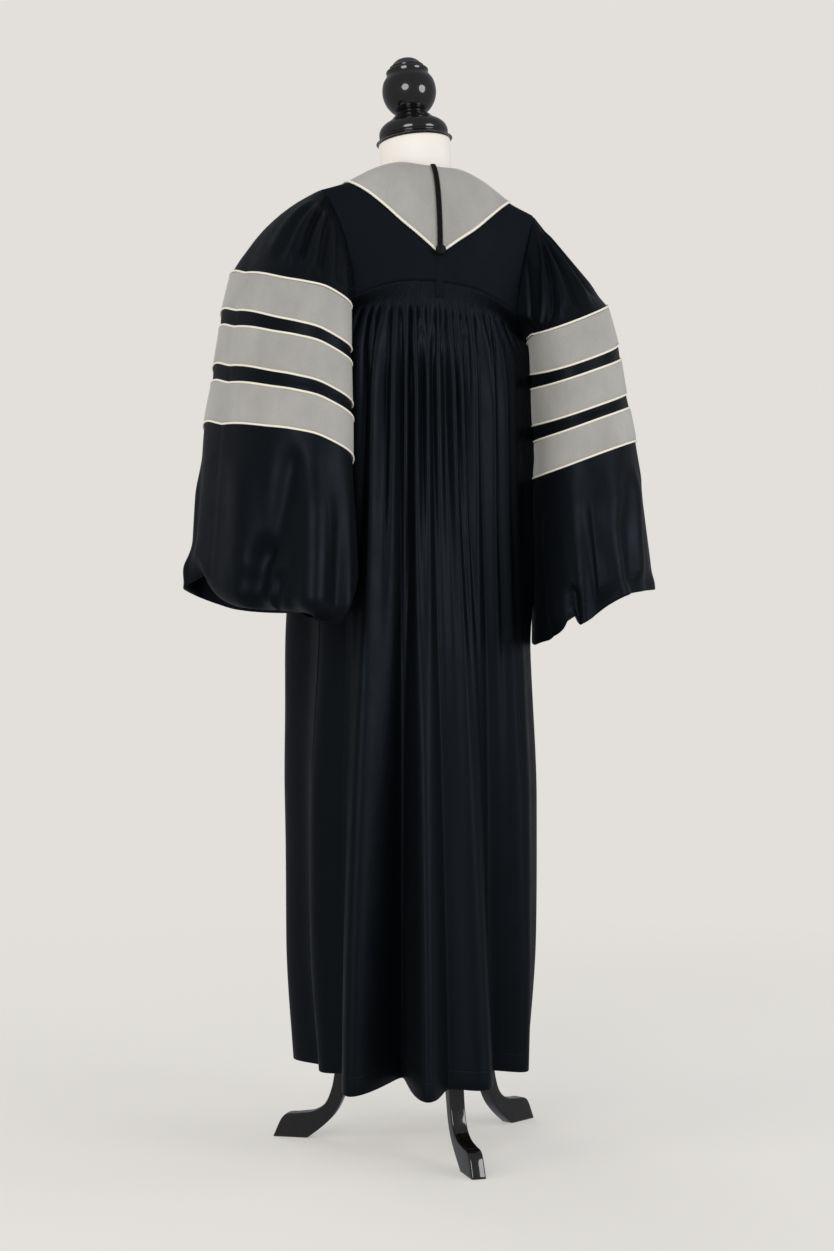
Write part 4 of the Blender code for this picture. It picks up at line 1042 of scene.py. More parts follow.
# ---------------------------------------------------------------- finishes
class Finish:
    """A material: one principled shader, and nodes put before it in the order they are read."""

    def __init__(self, name, colour, roughness, **sockets):
        self.material = bpy.data.materials.new(name)
        self.material.use_nodes = True
        self.material.diffuse_color = (*colour, 1.0)
        self.tree = self.material.node_tree
        self.shader = self.tree.nodes["Principled BSDF"]
        self.put(self.shader, {"Base Color": (*colour, 1.0), "Roughness": roughness, **sockets})

    def put(self, node, values):
        """Sets a node's inputs: a socket is linked, and anything else is its value."""
        for socket, value in values.items():
            if isinstance(value, bpy.types.NodeSocket):
                self.tree.links.new(value, node.inputs[socket])
            else:
                node.inputs[socket].default_value = value

    def node(self, kind, settings=(), values=()):
        """A new node with its settings and inputs."""
        node = self.tree.nodes.new("ShaderNode" + kind)
        for key, value in dict(settings).items():
            setattr(node, key, value)
        self.put(node, dict(values))
        return node

    def add(self, kind, out=0, settings=(), **values):
        """A new node's socket called out."""
        return self.node(kind, settings, values).outputs[out]

    def maths(self, operation, a, b=0.0):
        """A calculation on one or two values."""
        return self.node("Math", {"operation": operation}, {0: a, 1: b}).outputs[0]

    def level(self, value, low, high, to_low, to_high):
        """A value brought from one span to another, held at its ends."""
        names = ("From Min", "From Max", "To Min", "To Max")
        return self.add("MapRange", Value=value, **dict(zip(names, (low, high, to_low, to_high))))

    def noise(self, where, scale, detail=3.0, rough=0.55, squash=(1, 1, 1)):
        """Cloudy noise, scale patches to a metre, drawn out by the squash."""
        place = self.add("Mapping", Vector=where, Scale=squash)
        return self.add("TexNoise", Vector=place, Scale=scale, Detail=detail, Roughness=rough)

    def wave(self, where, spacing, direction="X", distortion=0.0, turn=0.0):
        """Bands spacing metres apart across the given direction."""
        place = self.add("Mapping", Vector=where, Rotation=(0, 0, turn))
        settings = {"bands_direction": direction, "wave_profile": "SIN"}
        extra = {"Distortion": distortion, "Detail": 1.0, "Detail Scale": 1.5}
        return self.add("TexWave", 1, settings, Vector=place, Scale=math.pi / (10 * spacing), **extra)

    def mix(self, share, a, b):
        """Share of colour b laid over colour a."""
        a, b = ((*c, 1.0) if isinstance(c, tuple) else c for c in (a, b))
        return self.node("Mix", {"data_type": "RGBA"}, {0: share, 6: a, 7: b}).outputs[2]

    def bumps(self, *layers):
        """Bump layers (height socket, strength, depth in metres), each laid on the one before."""
        normal = None
        for height, strength, depth in layers:
            values = {"Height": height, "Strength": strength, "Distance": depth}
            if normal:
                values["Normal"] = normal
            normal = self.add("Bump", **values)
        self.put(self.shader, {"Normal": normal})
        return self.material


def shaded(colour, k):
    """A colour made k times as light, never past white."""
    return tuple(min(1, c * k) for c in colour)


def nap(gloss, sheen, rough, tint=(1.0, 1.0, 1.0)):
    """The shader sockets of a soft surface: its gloss, and the sheen of its loose fibres."""
    return {
        "Specular IOR Level": gloss,
        "Sheen Weight": sheen,
        "Sheen Roughness": rough,
        "Sheen Tint": (*tint, 1.0),
    }


def woven_cloth(name, colour, roughness, warp, gloss, stitched=True):
    """Gown cloth: a fine twill (two crossed waves), slubs, faint creases, and a lock stitch in the
    cloth's own map a hem's depth above its lower edge."""
    blue = tuple(c * k for c, k in zip(colour, (1.1, 1.15, 1.3)))
    sockets = {**nap(gloss, 0.012, 0.4, (0.7, 0.8, 1.0)), "Specular Tint": (0.68, 0.80, 1.0, 1.0)}
    f = Finish(name, colour, roughness, **sockets)
    uv = f.add("UVMap", settings={"uv_map": "cloth"})
    place = f.add("TexCoord", "Object")
    mottle = f.noise(place, 9.0, 4.0)
    slub = f.noise(uv, 1.0, 2.0, 0.6, (900.0, 26.0, 1.0))
    weave = f.maths("MULTIPLY", f.wave(uv, warp, "X", 0.4), f.wave(uv, warp * 1.3, "Y", 0.4))
    twill = f.wave(uv, warp * 2.2, "X", 0.3, 0.9)
    tone = f.mix(mottle, colour, blue)
    # the slubs' lighter tone is the yarn's own; the twill's lighter diagonal lines are a painted
    # highlight on its ridges
    lines = f.maths("ADD", f.maths("MULTIPLY", slub, 0.7), f.maths("MULTIPLY", twill, 0.3))
    tone = f.mix(f.level(lines, 0.35, 0.75, 0.0, 0.5), tone, shaded(colour, 1.5))
    rough = f.level(f.noise(place, 26.0, 3.0), 0.3, 0.7, roughness - 0.05, roughness + 0.06)
    f.put(f.shader, {"Base Color": tone, "Roughness": rough})
    layers = [
        (f.noise(uv, 1.0, 3.0, 0.5, (34.0, 11.0, 1.0)), 0.22, 0.0030),
        (f.noise(place, 150.0, 2.0), 0.10, 0.0006),
        (weave, 0.25, 0.00025),
        (slub, 0.25, 0.00020),
    ]
    if stitched:
        across, up, _ = f.node("SeparateXYZ", values={"Vector": uv}).outputs
        off = f.maths("ABSOLUTE", f.maths("SUBTRACT", up, HEM_TURN))
        line = f.level(off, 0.0004, 0.0014, 1.0, 0.0)
        dash = f.level(f.maths("PINGPONG", across, 0.0014), 0.0002, 0.0006, 0.25, 1.0)
        layers.append((f.maths("SUBTRACT", 1.0, f.maths("MULTIPLY", line, dash)), 0.45, 0.0006))
    return f.bumps(*layers)


def velvet_cloth(name, colour):
    """Velvet: an uneven nap brushed in soft patches, and a bright grazing sheen."""
    f = Finish(name, colour, 0.85, **nap(0.12, 0.55, 0.35, (1.0, 0.98, 0.94)))
    uv = f.add("UVMap", settings={"uv_map": "cloth"})
    place = f.add("TexCoord", "Object")
    brushed = f.noise(place, 15.0, 4.0, 0.6, (1.0, 1.0, 0.6))
    fine = f.noise(uv, 420.0, 3.0, 0.7)
    pile = f.noise(uv, 1500.0, 2.0, 0.7)
    lie = f.level(brushed, 0.3, 0.7, 0.0, 1.0)
    tone = f.mix(lie, shaded(colour, 0.86), shaded(colour, 1.10))
    tone = f.mix(f.level(fine, 0.35, 0.7, 0.0, 0.30), tone, shaded(colour, 0.62))
    f.put(f.shader, {"Base Color": tone})
    return f.bumps((brushed, 0.15, 0.002), (fine, 0.35, 0.0006), (pile, 0.4, 0.0002))


def corded(name, colour, edge, lay, roughness):
    """Piping or cord in its own map (along, round): strands on a slant, with painted shade in the
    grooves between them.
    """
    f = Finish(name, colour, roughness, **nap(0.3, 0.2, 0.5))
    uv = f.add("UVMap", settings={"uv_map": "cloth"})
    strands = f.wave(uv, lay, "X", 0.3, 0.85)
    fibre = f.noise(uv, 1.0, 3.0, 0.6, (900.0, 2600.0, 1.0))
    # painted shade: the grooves between the strands take the darker colour passed in as edge
    tone = f.mix(f.level(strands, 0.15, 0.7, 0.0, 1.0), edge, colour)
    tone = f.mix(f.level(fibre, 0.3, 0.75, 0.0, 0.25), tone, shaded(colour, 0.8))
    f.put(f.shader, {"Base Color": tone})
    return f.bumps((strands, 0.5, 0.0004), (fibre, 0.2, 0.0002))


def flat_cord(name, colour, edge, half):
    """The hood cord: black braid with painted shade between its strands; its two edges have faded to
    brown.
    """
    f = Finish(name, colour, 0.6, **nap(0.15, 0.02, 0.5))
    uv = f.add("UVMap", settings={"uv_map": "cloth"})
    place = f.add("TexCoord", "Object")
    side = f.maths("ABSOLUTE", f.add("SeparateXYZ", Vector=place))
    worn = f.maths("ADD", side, f.level(f.noise(place, 300.0, 3.0), 0.3, 0.7, -0.0007, 0.0007))
    left, right = f.wave(uv, 0.0021, "X", 0.2, 0.8), f.wave(uv, 0.0021, "X", 0.2, -0.8)
    braid = f.maths("MAXIMUM", left, right)
    # painted shade: the braid is half as light between its strands
    tone = f.mix(f.level(braid, 0.3, 0.9, 0.0, 1.0), shaded(colour, 0.5), colour)
    tone = f.mix(f.level(worn, half * 0.72, half * 0.98, 0.0, 1.0), tone, edge)
    f.put(f.shader, {"Base Color": tone})
    return f.bumps((braid, 0.8, 0.0006))


def jersey(name, colour):
    """The form's cover: fine cotton knit, rows of stitches with painted shade between them, and faint
    soiling.
    """
    f = Finish(name, colour, 0.85, **nap(0.2, 0.25, 0.5))
    place = f.add("TexCoord", "Object")
    rows = f.wave(place, 0.0016, "Z", 0.6)
    cloud, fibre = f.noise(place, 12.0, 4.0), f.noise(place, 700.0, 3.0)
    soiled = tuple(c * k for c, k in zip(colour, (0.96, 0.94, 0.90)))
    tone = f.mix(f.level(cloud, 0.35, 0.7, 0.0, 1.0), colour, soiled)
    # painted shade: the grooves between the rows of stitches are made a little darker
    tone = f.mix(f.level(rows, 0.0, 0.5, 0.10, 0.0), tone, shaded(colour, 0.8))
    f.put(f.shader, {"Base Color": tone})
    return f.bumps((rows, 0.25, 0.0004), (fibre, 0.3, 0.0003))


def lacquered_wood(name, colour):
    """Turned wood under black lacquer: open grain that shows faintly, and brush marks."""
    coat = {"Coat Weight": 0.9, "Coat Roughness": 0.03, "Coat IOR": 1.75}
    f = Finish(name, colour, 0.24, **{"Specular IOR Level": 0.15, **coat})
    place = f.add("TexCoord", "Object")
    grain = f.noise(place, 30.0, 5.0, 0.65, (4.0, 4.0, 0.5))
    tone = f.mix(f.level(grain, 0.45, 0.75, 0.0, 1.0), colour, (0.012, 0.008, 0.006))
    rough = f.level(f.noise(place, 45.0, 4.0), 0.3, 0.7, 0.18, 0.34)
    f.put(f.shader, {"Base Color": tone, "Roughness": rough})
    return f.bumps((grain, 0.10, 0.0008), (f.noise(place, 320.0, 2.0), 0.05, 0.0003))


FINISHES = {}


def finish_for(word):
    """Makes each finish once, from the colours in the sidebar."""
    if word not in FINISHES:
        c = bpy.context.scene.gown_colours
        cloth, velvet, piping, cord = (tuple(v) for v in (c.cloth, c.velvet, c.piping, c.cord))
        cover, wood, worn = tuple(c.cover), tuple(c.wood), (0.075, 0.045, 0.026)
        yoke = shaded(cloth, 1.7)
        makers = {
            "gown_cloth": lambda: woven_cloth(word, cloth, 0.42, 0.0007, 0.17),
            "yoke_cloth": lambda: woven_cloth(word, yoke, 0.62, 0.0011, 0.10, False),
            "velvet": lambda: velvet_cloth(word, velvet),
            # the piping's second colour, 0.9 as light, is painted shade for the grooves between its
            # strands
            "piping": lambda: corded(word, piping, shaded(piping, 0.90), 0.0022, 0.55),
            "cord": lambda: flat_cord(word, cord, worn, 0.0043),
            "button_cloth": lambda: woven_cloth(word, cord, 0.5, 0.0008, 0.25, False),
            "form_cover": lambda: jersey(word, cover),
            "black_wood": lambda: lacquered_wood(word, wood),
        }
        FINISHES[word] = makers[word]()
    return FINISHES[word]


# ---------------------------------------------------------------- sizes and colours to change
def length_property(name, words, default, low, high):
    """A length for the sidebar."""
    return FloatProperty(
        name=name, description=words, default=default, min=low, max=high, unit="LENGTH"
    )


def colour_property(name, words, default):
    """A colour for the sidebar."""
    return FloatVectorProperty(
        name=name, description=words, default=default, min=0, max=1, subtype="COLOR"
    )


class GownSizes(PropertyGroup):
    """Sizes of the finer work that a maker would change"""

    hem: length_property("Hem", "Depth of cloth turned up inside each hem", HEM_TURN, 0.005, 0.06)
    ribs: IntProperty(
        name="Gathers",
        description="Fine gathers side by side under the yoke seam",
        default=RIBS,
        min=20,
        max=120,
    )
    pleat_depth: length_property(
        "Pleats", "Height of the fine pleats below the gathers", FINE_PLEAT_DEPTH, 0.0, 0.008
    )
    cord_width: length_property(
        "Hood cord", "Width of the cord down the centre back", 0.0086, 0.004, 0.015
    )


class GownColours(PropertyGroup):
    """Colours of the cloth, trim, form and stand"""

    cloth: colour_property("Cloth", "Gown cloth", (0.0026, 0.0034, 0.0040))
    velvet: colour_property("Velvet", "Velvet facings and sleeve bars", (0.424, 0.409, 0.377))
    piping: colour_property("Piping", "Piping along the velvet", (1.0, 0.94, 0.79))
    cord: colour_property("Hood cord", "Cord and its button", (0.0040, 0.0040, 0.0042))
    cover: colour_property("Form cover", "Jersey over the dress form", (0.99, 0.945, 0.865))
    wood: colour_property("Wood", "Lacquered cap, finial and stand", (0.0040, 0.0037, 0.0036))


# ---------------------------------------------------------------- pieces
class GOWN_OT_yoke(Operator):
    """Cut the back yoke, which runs over the shoulders to their ridge"""

    bl_idname = "gown.yoke"
    bl_label = "Back yoke"

    def execute(self, context):
        grid, n = yoke_sheet(YOKE_COLUMNS, spread((0, 2, 14), (2, 4.6, 30), (4.6, 5, 12)))
        grid = rolled(grid, n, ("last_j",), 0.0013, 0.0035)
        piece = add_sheet("yoke_back_cloth", grid, n, finish_for("yoke_cloth"))
        cloth_piece("yoke_back")
        return {"FINISHED"}


class GOWN_OT_back(Operator):
    """Gather the back panel to the yoke seam and let it fall to the hem"""

    bl_idname = "gown.back"
    bl_label = "Back panel"

    def execute(self, context):
        share = np.linspace(-1, 1, 621)
        gathers, folded = ((0, 0.004, 3), (0.004, 0.052, 16)), ((0.052, 0.30, 40), (0.30, 0.80, 38))
        level = CHEST_Z - spread(*gathers, *folded, (0.80, CHEST_Z - HEM_Z, 24))
        grid, n = back_sheet(share, level)
        grid = rolled(grid, n, ("first_j",), 0.0012, 0.003)
        grid = turned_under(grid, n, context.scene.gown_sizes.hem)
        outward, hem = (grid - AXIS) * LEVEL, len(level) + 1
        piece = add_sheet("back_panel_cloth", grid, outward, finish_for("gown_cloth"), hem_row=hem)
        cloth_piece("back_panel")
        return {"FINISHED"}


class GOWN_OT_fronts(Operator):
    """Hang the two plain fronts from the shoulder ridge to the hem"""

    bl_idname = "gown.fronts"
    bl_label = "Fronts"

    def execute(self, context):
        for side, word in SIDES:
            across = spread((0, 1, 44), (1, 2, 150))
            down = spread((0, 1, 40), (1, 1.14, 16), (1.14, FRONT_FOOT, 96))
            grid, n = front_sheet(side, across, down)
            grid = turned_under(grid, n, context.scene.gown_sizes.hem)
            name, out, hem = f"front_{word}", off_the_body(grid), len(down) + 1
            piece = add_sheet(name + "_cloth", grid, out, finish_for("gown_cloth"), hem_row=hem)
            cloth_piece(name)
        return {"FINISHED"}


class GOWN_OT_sleeves(Operator):
    """Set in the two bell sleeves"""

    bl_idname = "gown.sleeves"
    bl_label = "Sleeves"

    def execute(self, context):
        for side, word in SIDES:
            if side > 0:
                node = spread((0, 1.6, 24), (1.6, 7, 260), (7, NODES, 140))[:-1]
            else:
                node = spread((0, 9, 220), (9, NODES, 110))[:-1]
            row = spread((0, 0.60, 15), (0.60, 3, 42), (3, 8, 48), (8, 11, 54))
            grid, n = sleeve_sheet(side, node, row)
            grid = rolled(grid, n, ("first_j",), 0.0010, 0.003)
            depth = np.full((len(node), 1, 1), context.scene.gown_sizes.hem)
            if side > 0:
                depth = depth * (1 - (1 - CURLED_HEM) * curled(node, 1.1))[:, None, None]
            grid = turned_under(grid, n, depth)
            outward = np.concatenate([n, np.repeat(n[:, -1:], grid.shape[1] - n.shape[1], 1)], 1)
            name, cloth = f"sleeve_{word}", finish_for("gown_cloth")
            piece = add_sheet(name + "_cloth", grid, outward, cloth, ring=True, hem_row=len(row) + 1)
            cloth_piece(name)
        return {"FINISHED"}


class GOWN_OT_facings(Operator):
    """Face the neck and both fronts with velvet"""

    bl_idname = "gown.facings"
    bl_label = "Velvet facings"

    def execute(self, context):
        high = TRIM_LIFT + 0.0006
        grid, n = yoke_sheet(YOKE_COLUMNS, spread((0, 1.6, 26), (1.6, 2, 12)))
        grid = rolled(grid + n * high, n, ("last_j",), 0.0011, 0.0035)
        piece = add_sheet("velvet_back_band", grid, n, finish_for("velvet"))
        cloth_piece("velvet_back")
        across = spread((0, 0.06, 5), (0.06, 0.92, 34), (0.92, 1, 7))
        down = spread((0, 1, 44), (1, 1.14, 12), (1.14, FRONT_FOOT, 90))
        for side, word in SIDES:
            grid, n = front_sheet(side, across, down)
            grid = rolled(grid + n * high, n, ("last_i",), 0.0011, 0.0035)
            grid = turned_under(grid, n, 0.012)
            name, out, hem = f"velvet_front_{word}", off_the_body(grid), len(down) + 1
            piece = add_sheet(name + "_band", grid, out, finish_for("velvet"), hem_row=hem)
            cloth_piece(name)
        return {"FINISHED"}


class GOWN_OT_bars(Operator):
    """Sew three velvet bars round each sleeve, piped above and below"""

    bl_idname = "gown.bars"
    bl_label = "Sleeve bars"

    def execute(self, context):
        node = spread((0, NODES, 380))[:-1]
        for side, word in SIDES:
            for k, (top, bottom) in enumerate(BAR_ROWS, 1):
                gap = (BAR_GAP - 0.0014) / 0.055
                stops = (top + gap, top + gap * 2, bottom - gap * 2, bottom - gap)
                row = spread(*zip(stops[:-1], stops[1:], (3, 12, 3)))
                grid, n = sleeve_sheet(side, node, row)
                grid = grid + n * (TRIM_LIFT + 0.0008)
                grid = rolled(grid, n, ("first_j", "last_j"), 0.0013, 0.004)
                name, flat = f"bar_{word}_{k}", (0.60 + 0.04 * k, 0.052)
                piece = add_sheet(name + "_band", grid, n, finish_for("velvet"), ring=True)
                cloth_piece(name)
                for at, where in ((top, "top"), (bottom, "bottom")):
                    self.pipe(f"piping_{word}_{k}_{where}", side, node, at)
        return {"FINISHED"}

    def pipe(self, name, side, node, at):
        """Piping round a sleeve, along one of its rows."""
        grid, n = sleeve_sheet(side, node, np.array([at - 0.04, float(at), at + 0.04]))
        path, ups = grid[:, 1], n[:, 1]
        across = unit(np.cross(unit(np.roll(path, -1, 0) - np.roll(path, 1, 0)), ups))
        path = path + ups * (SEAM + BAR_CORD_R * 0.9)
        cord = finish_for("piping")
        piece = add_tube(name + "_cord", path, ups, across, cord, BAR_CORD_R, True, 0.9, 8)
        stands_for(name)


class GOWN_OT_neck_piping(Operator):
    """Pipe the velvet's outer edge from the point at the back to each front hem"""

    bl_idname = "gown.neck_piping"
    bl_label = "Neck piping"

    def execute(self, context):
        for side, word in SIDES:
            columns = side * spread((0.12, YOKE_HALF, 90))
            back, back_n = yoke_sheet(columns, np.array([1.94, 2.0, 2.06]))
            down = spread((0.02, 1, 50), (1, 1.14, 14), (1.14, FRONT_FOOT, 110))
            front, front_n = front_sheet(side, np.array([0.96, 1.0, 1.04]), down)
            path = np.concatenate([back[:, 1], front[1]])
            ups = unit(np.concatenate([back_n[:, 1], front_n[1]]))
            across = unit(np.cross(unit(np.gradient(path, axis=0)), ups))
            path = path + ups * (SEAM + CORD_R * 0.85)
            name, cord = f"piping_neck_{word}", finish_for("piping")
            piece = add_tube(name + "_cord", path, ups, across, cord, CORD_R, False, 0.9, 10)
            stands_for(name)
        return {"FINISHED"}


class GOWN_OT_centre_back(Operator):
    """Lay the hood cord on the velvet, its button at the point and the tab below it"""

    bl_idname = "gown.centre_back"
    bl_label = "Cord, button and tab"

    def execute(self, context):
        self.cord(context.scene.gown_sizes.cord_width / 2)
        self.button()
        self.tab()
        return {"FINISHED"}

    def cord(self, half):
        """The flat braid, from the neck edge to the point of the velvet."""
        grid, n = yoke_sheet(np.array([-0.2, 0.0, 0.2]), spread((0.015, 1.93, 60)))
        path, ups = grid[1], n[1]
        across = np.broadcast_to([1.0, 0.0, 0.0], path.shape)
        path = path + ups * (SEAM + TRIM_LIFT + 0.0006 + half * 0.36)
        braid = finish_for("cord")
        piece = add_tube("hood_cord_braid", path, ups, across, braid, half, False, 0.40, 16)
        stands_for("hood_cord")

    def button(self):
        """The covered button, where the two lengths of neck piping meet."""
        grid, n = yoke_sheet(np.array([-0.2, 0.0, 0.2]), np.array([1.87, 1.97, 2.07]))
        axis = n[1, 1]
        base, cover = grid[1, 1] + axis * (SEAM + CORD_R * 1.7), finish_for("button_cloth")
        piece = add_turned("hood_button_knob", BUTTON, base, axis, cover, 48, 5)
        stands_for("hood_button")

    def tab(self):
        """The tab: it follows the yoke to its seam and then the back panel, a little proud of it."""
        k = np.linspace(-TAB_HALF, TAB_HALF, 13)
        upper, upper_n = yoke_sheet(k, spread((2.25, 5, TAB_STEPS)))
        lower, lower_n = back_sheet(k / SEAM_COLS, CHEST_Z - spread((0.004, 0.026, 8)))
        lower = np.broadcast_to((lower - lower[:, :1]).mean(0), lower.shape)
        lower_n = np.broadcast_to(lower_n.mean(0), lower.shape)
        step = upper[:, -1:] - upper[:, -2:-1]
        grid = np.concatenate([upper, upper[:, -1:] + step + lower], 1)
        n = np.concatenate([upper_n, lower_n], 1)
        lift = np.where(np.arange(grid.shape[1]) >= TAB_STEPS, 0.0020, 0.0009)
        grid = grid + n * lift[None, :, None]
        grid = rolled(grid, n, ("first_i", "last_i", "last_j"), 0.0010, 0.0015)
        piece = add_sheet("back_tab_cloth", grid, n, finish_for("yoke_cloth"))
        cloth_piece("back_tab")


def smooth_line(points, steps, closed=False):
    """A curve through points: cubic pieces whose slopes are half the chord between neighbours."""
    p = np.asarray(points, float)
    slope = (np.roll(p, -1, 0) - np.roll(p, 1, 0)) / 2
    if not closed:
        slope[0], slope[-1] = p[1] - p[0], p[-1] - p[-2]
    end, end_slope = np.roll(p, -1, 0), np.roll(slope, -1, 0)
    if not closed:
        p, slope, end, end_slope = p[:-1], slope[:-1], end[:-1], end_slope[:-1]
    t = (np.arange(steps) / steps)[None, :, None]
    a, m, b, q = (v[:, None] for v in (p, slope, end, end_slope))
    out = a * (2 * t**3 - 3 * t**2 + 1) + m * (t**3 - 2 * t**2 + t)
    out = out + b * (3 * t**2 - 2 * t**3) + q * (t**3 - t**2)
    out = out.reshape(-1, p.shape[1])
    return out if closed else np.concatenate([out, np.asarray(points, float)[-1:]])


def add_turned(name, profile, base, axis, material, around, steps=6, smooth=True):
    """A turned piece: its profile (radius, height up the axis) carried round the axis."""
    line = smooth_line(profile, steps) if smooth else np.asarray(profile, float)
    line[:, 0] = np.clip(line[:, 0], 0.00002, None)
    axis = unit(np.asarray(axis, float))
    aside = [0.0, 1.0, 0.0] if abs(axis[1]) < 0.9 else [1.0, 0.0, 0.0]
    first = unit(np.cross(axis, aside))
    second = np.cross(axis, first)
    a = np.arange(around) / around * 2 * np.pi
    spoke = np.cos(a)[:, None] * first + np.sin(a)[:, None] * second
    grid = np.asarray(base, float) + spoke[:, None] * line[None, :, :1] + axis * line[None, :, 1:]
    outward = np.broadcast_to(spoke[:, None], grid.shape)
    return add_sheet(name, grid, outward, material, ring=True)


def evenly(line, steps):
    """The same curve with its points an even distance apart."""
    length = run_of(np.linalg.norm(np.diff(line, axis=0), axis=-1))
    at = np.linspace(0, length[-1], steps)
    return np.stack([np.interp(at, length, line[:, k]) for k in range(line.shape[1])], -1)


class GOWN_OT_form(Operator):
    """Cover the limbless dress form and set its neck cap and finial"""

    bl_idname = "gown.form"
    bl_label = "Dress form"

    def execute(self, context):
        self.cover()
        lean, roll = math.radians(NECK_LEAN), math.radians(NECK_ROLL)
        axis = (math.cos(lean) * math.sin(roll), -math.sin(lean), math.cos(lean) * math.cos(roll))
        for node, profile in (("neck_cap", CAP), ("finial", FINIAL)):
            wood = finish_for("black_wood")
            piece = add_turned(node + "_turned", profile, CAP_BASE, axis, wood, 96)
            stands_for(node)
        return {"FINISHED"}

    def cover(self):
        """The form's ellipses, tilted forward up the neck, which also leans to the side."""
        at = spread((0, len(FORM) - 1, 150))
        table = [(float(n), *line) for n, line in enumerate(FORM)]
        z, wide, deep, mid, tilt = (curve(table, at, col)[:, None, None] for col in range(1, 6))
        turn = (np.arange(96) / 96 * 2 * np.pi)[None, :, None]
        tilt = np.radians(tilt)
        x, y = wide * np.cos(turn), deep * np.sin(turn)
        neck = ease((z - NECK_Z) / (FORM[-1][0] - NECK_Z))
        high = z + y * np.sin(tilt) - x * np.tan(np.radians(NECK_ROLL)) * neck
        rings = np.concatenate([x + NECK_SIDE * neck, mid + y * np.cos(tilt), high], -1)
        jersey_cover = finish_for("form_cover")
        piece = add_closed("form_cover_shell", rings, (0.998, 0.5, 0.1), jersey_cover)
        stands_for("form_torso")


class GOWN_OT_stand(Operator):
    """Turn the pole and hub and shape the three curved legs"""

    bl_idname = "gown.stand"
    bl_label = "Stand"

    def execute(self, context):
        wood, upright = finish_for("black_wood"), (0, 0, 1)
        foot, top = HUB[1] + SEAM, FORM[0][0] - SEAM
        pole = ((0.0, foot), (POLE_R, foot), (POLE_R, 0.5), (POLE_R, top), (0.0, top))
        piece = add_turned("pole_turned", pole, (0, 0, 0), upright, wood, 48, smooth=False)
        stands_for("pole")
        low = [(HUB_R * share, HUB[0] + inward) for share, inward in HUB_END]
        high = [(HUB_R * share, HUB[1] - inward) for share, inward in HUB_END[::-1]]
        piece = add_turned("hub_turned", low + high, (0, 0, 0), upright, wood, 64, 4)
        stands_for("hub")
        for number, angle in enumerate(LEG_ANGLES, 1):
            name = f"leg_{number}"
            piece = add_closed(name + "_carved", self.leg(angle), (0.998, 0.5, 0.06), wood)
            stands_for(name)
        return {"FINISHED"}

    def leg(self, angle):
        """One leg's rings: a superellipse between the two edges of its board, turned to its angle."""
        edges = (LEG_EDGE[:LEG_TOP], LEG_EDGE[: LEG_TOP - 1 : -1])
        outer, inner = (evenly(smooth_line(edge, 9), 100) for edge in edges)
        a = np.arange(32) / 32 * 2 * np.pi
        u, v = (np.sign(w) * np.abs(w) ** LEG_SQUARE / 2 for w in (np.cos(a), np.sin(a)))
        middle, reach = (outer + inner)[:, None] / 2, (outer - inner)[:, None]
        r, z = np.moveaxis(middle + reach * u[None, :, None], -1, 0)
        w = np.broadcast_to(v * LEG_WIDE, r.shape)
        c, s = math.cos(math.radians(angle)), math.sin(math.radians(angle))
        return np.stack([r * c - w * s, r * s + w * c, z], -1)


PALE = (0.768, 0.745, 0.708)  # floor and backdrop
AROUND, AROUND_GLOSSY = 0.42, 0.24  # light from all around, and as much of it as gloss shows
CAMERA_TURN, CAMERA_AWAY, CAMERA_HIGH = 18.0, 3.2, 0.744  # degrees from straight behind, metres
AIM = np.array([0.0, 0.0, 0.95])  # what the lamps point at, in the middle of the gown
LAMPS = (  # name, place, size, watts, colour, seen in the gloss
    ("key", (2.2, 3.1, 2.0), 2.0, 48.0, (1.0, 0.985, 0.96), True),
    ("fill", (-2.2, 2.7, 1.8), 1.8, 38.0, (0.99, 0.99, 1.0), True),
    ("left", (3.3, 0.6, 1.7), 1.8, 30.0, (1.0, 0.985, 0.96), False),
    ("right", (-3.2, 0.5, 1.6), 1.8, 22.0, (0.99, 0.99, 1.0), False),
    ("front", (0.4, -3.0, 2.4), 2.0, 26.0, (1.0, 0.99, 0.97), False),
)


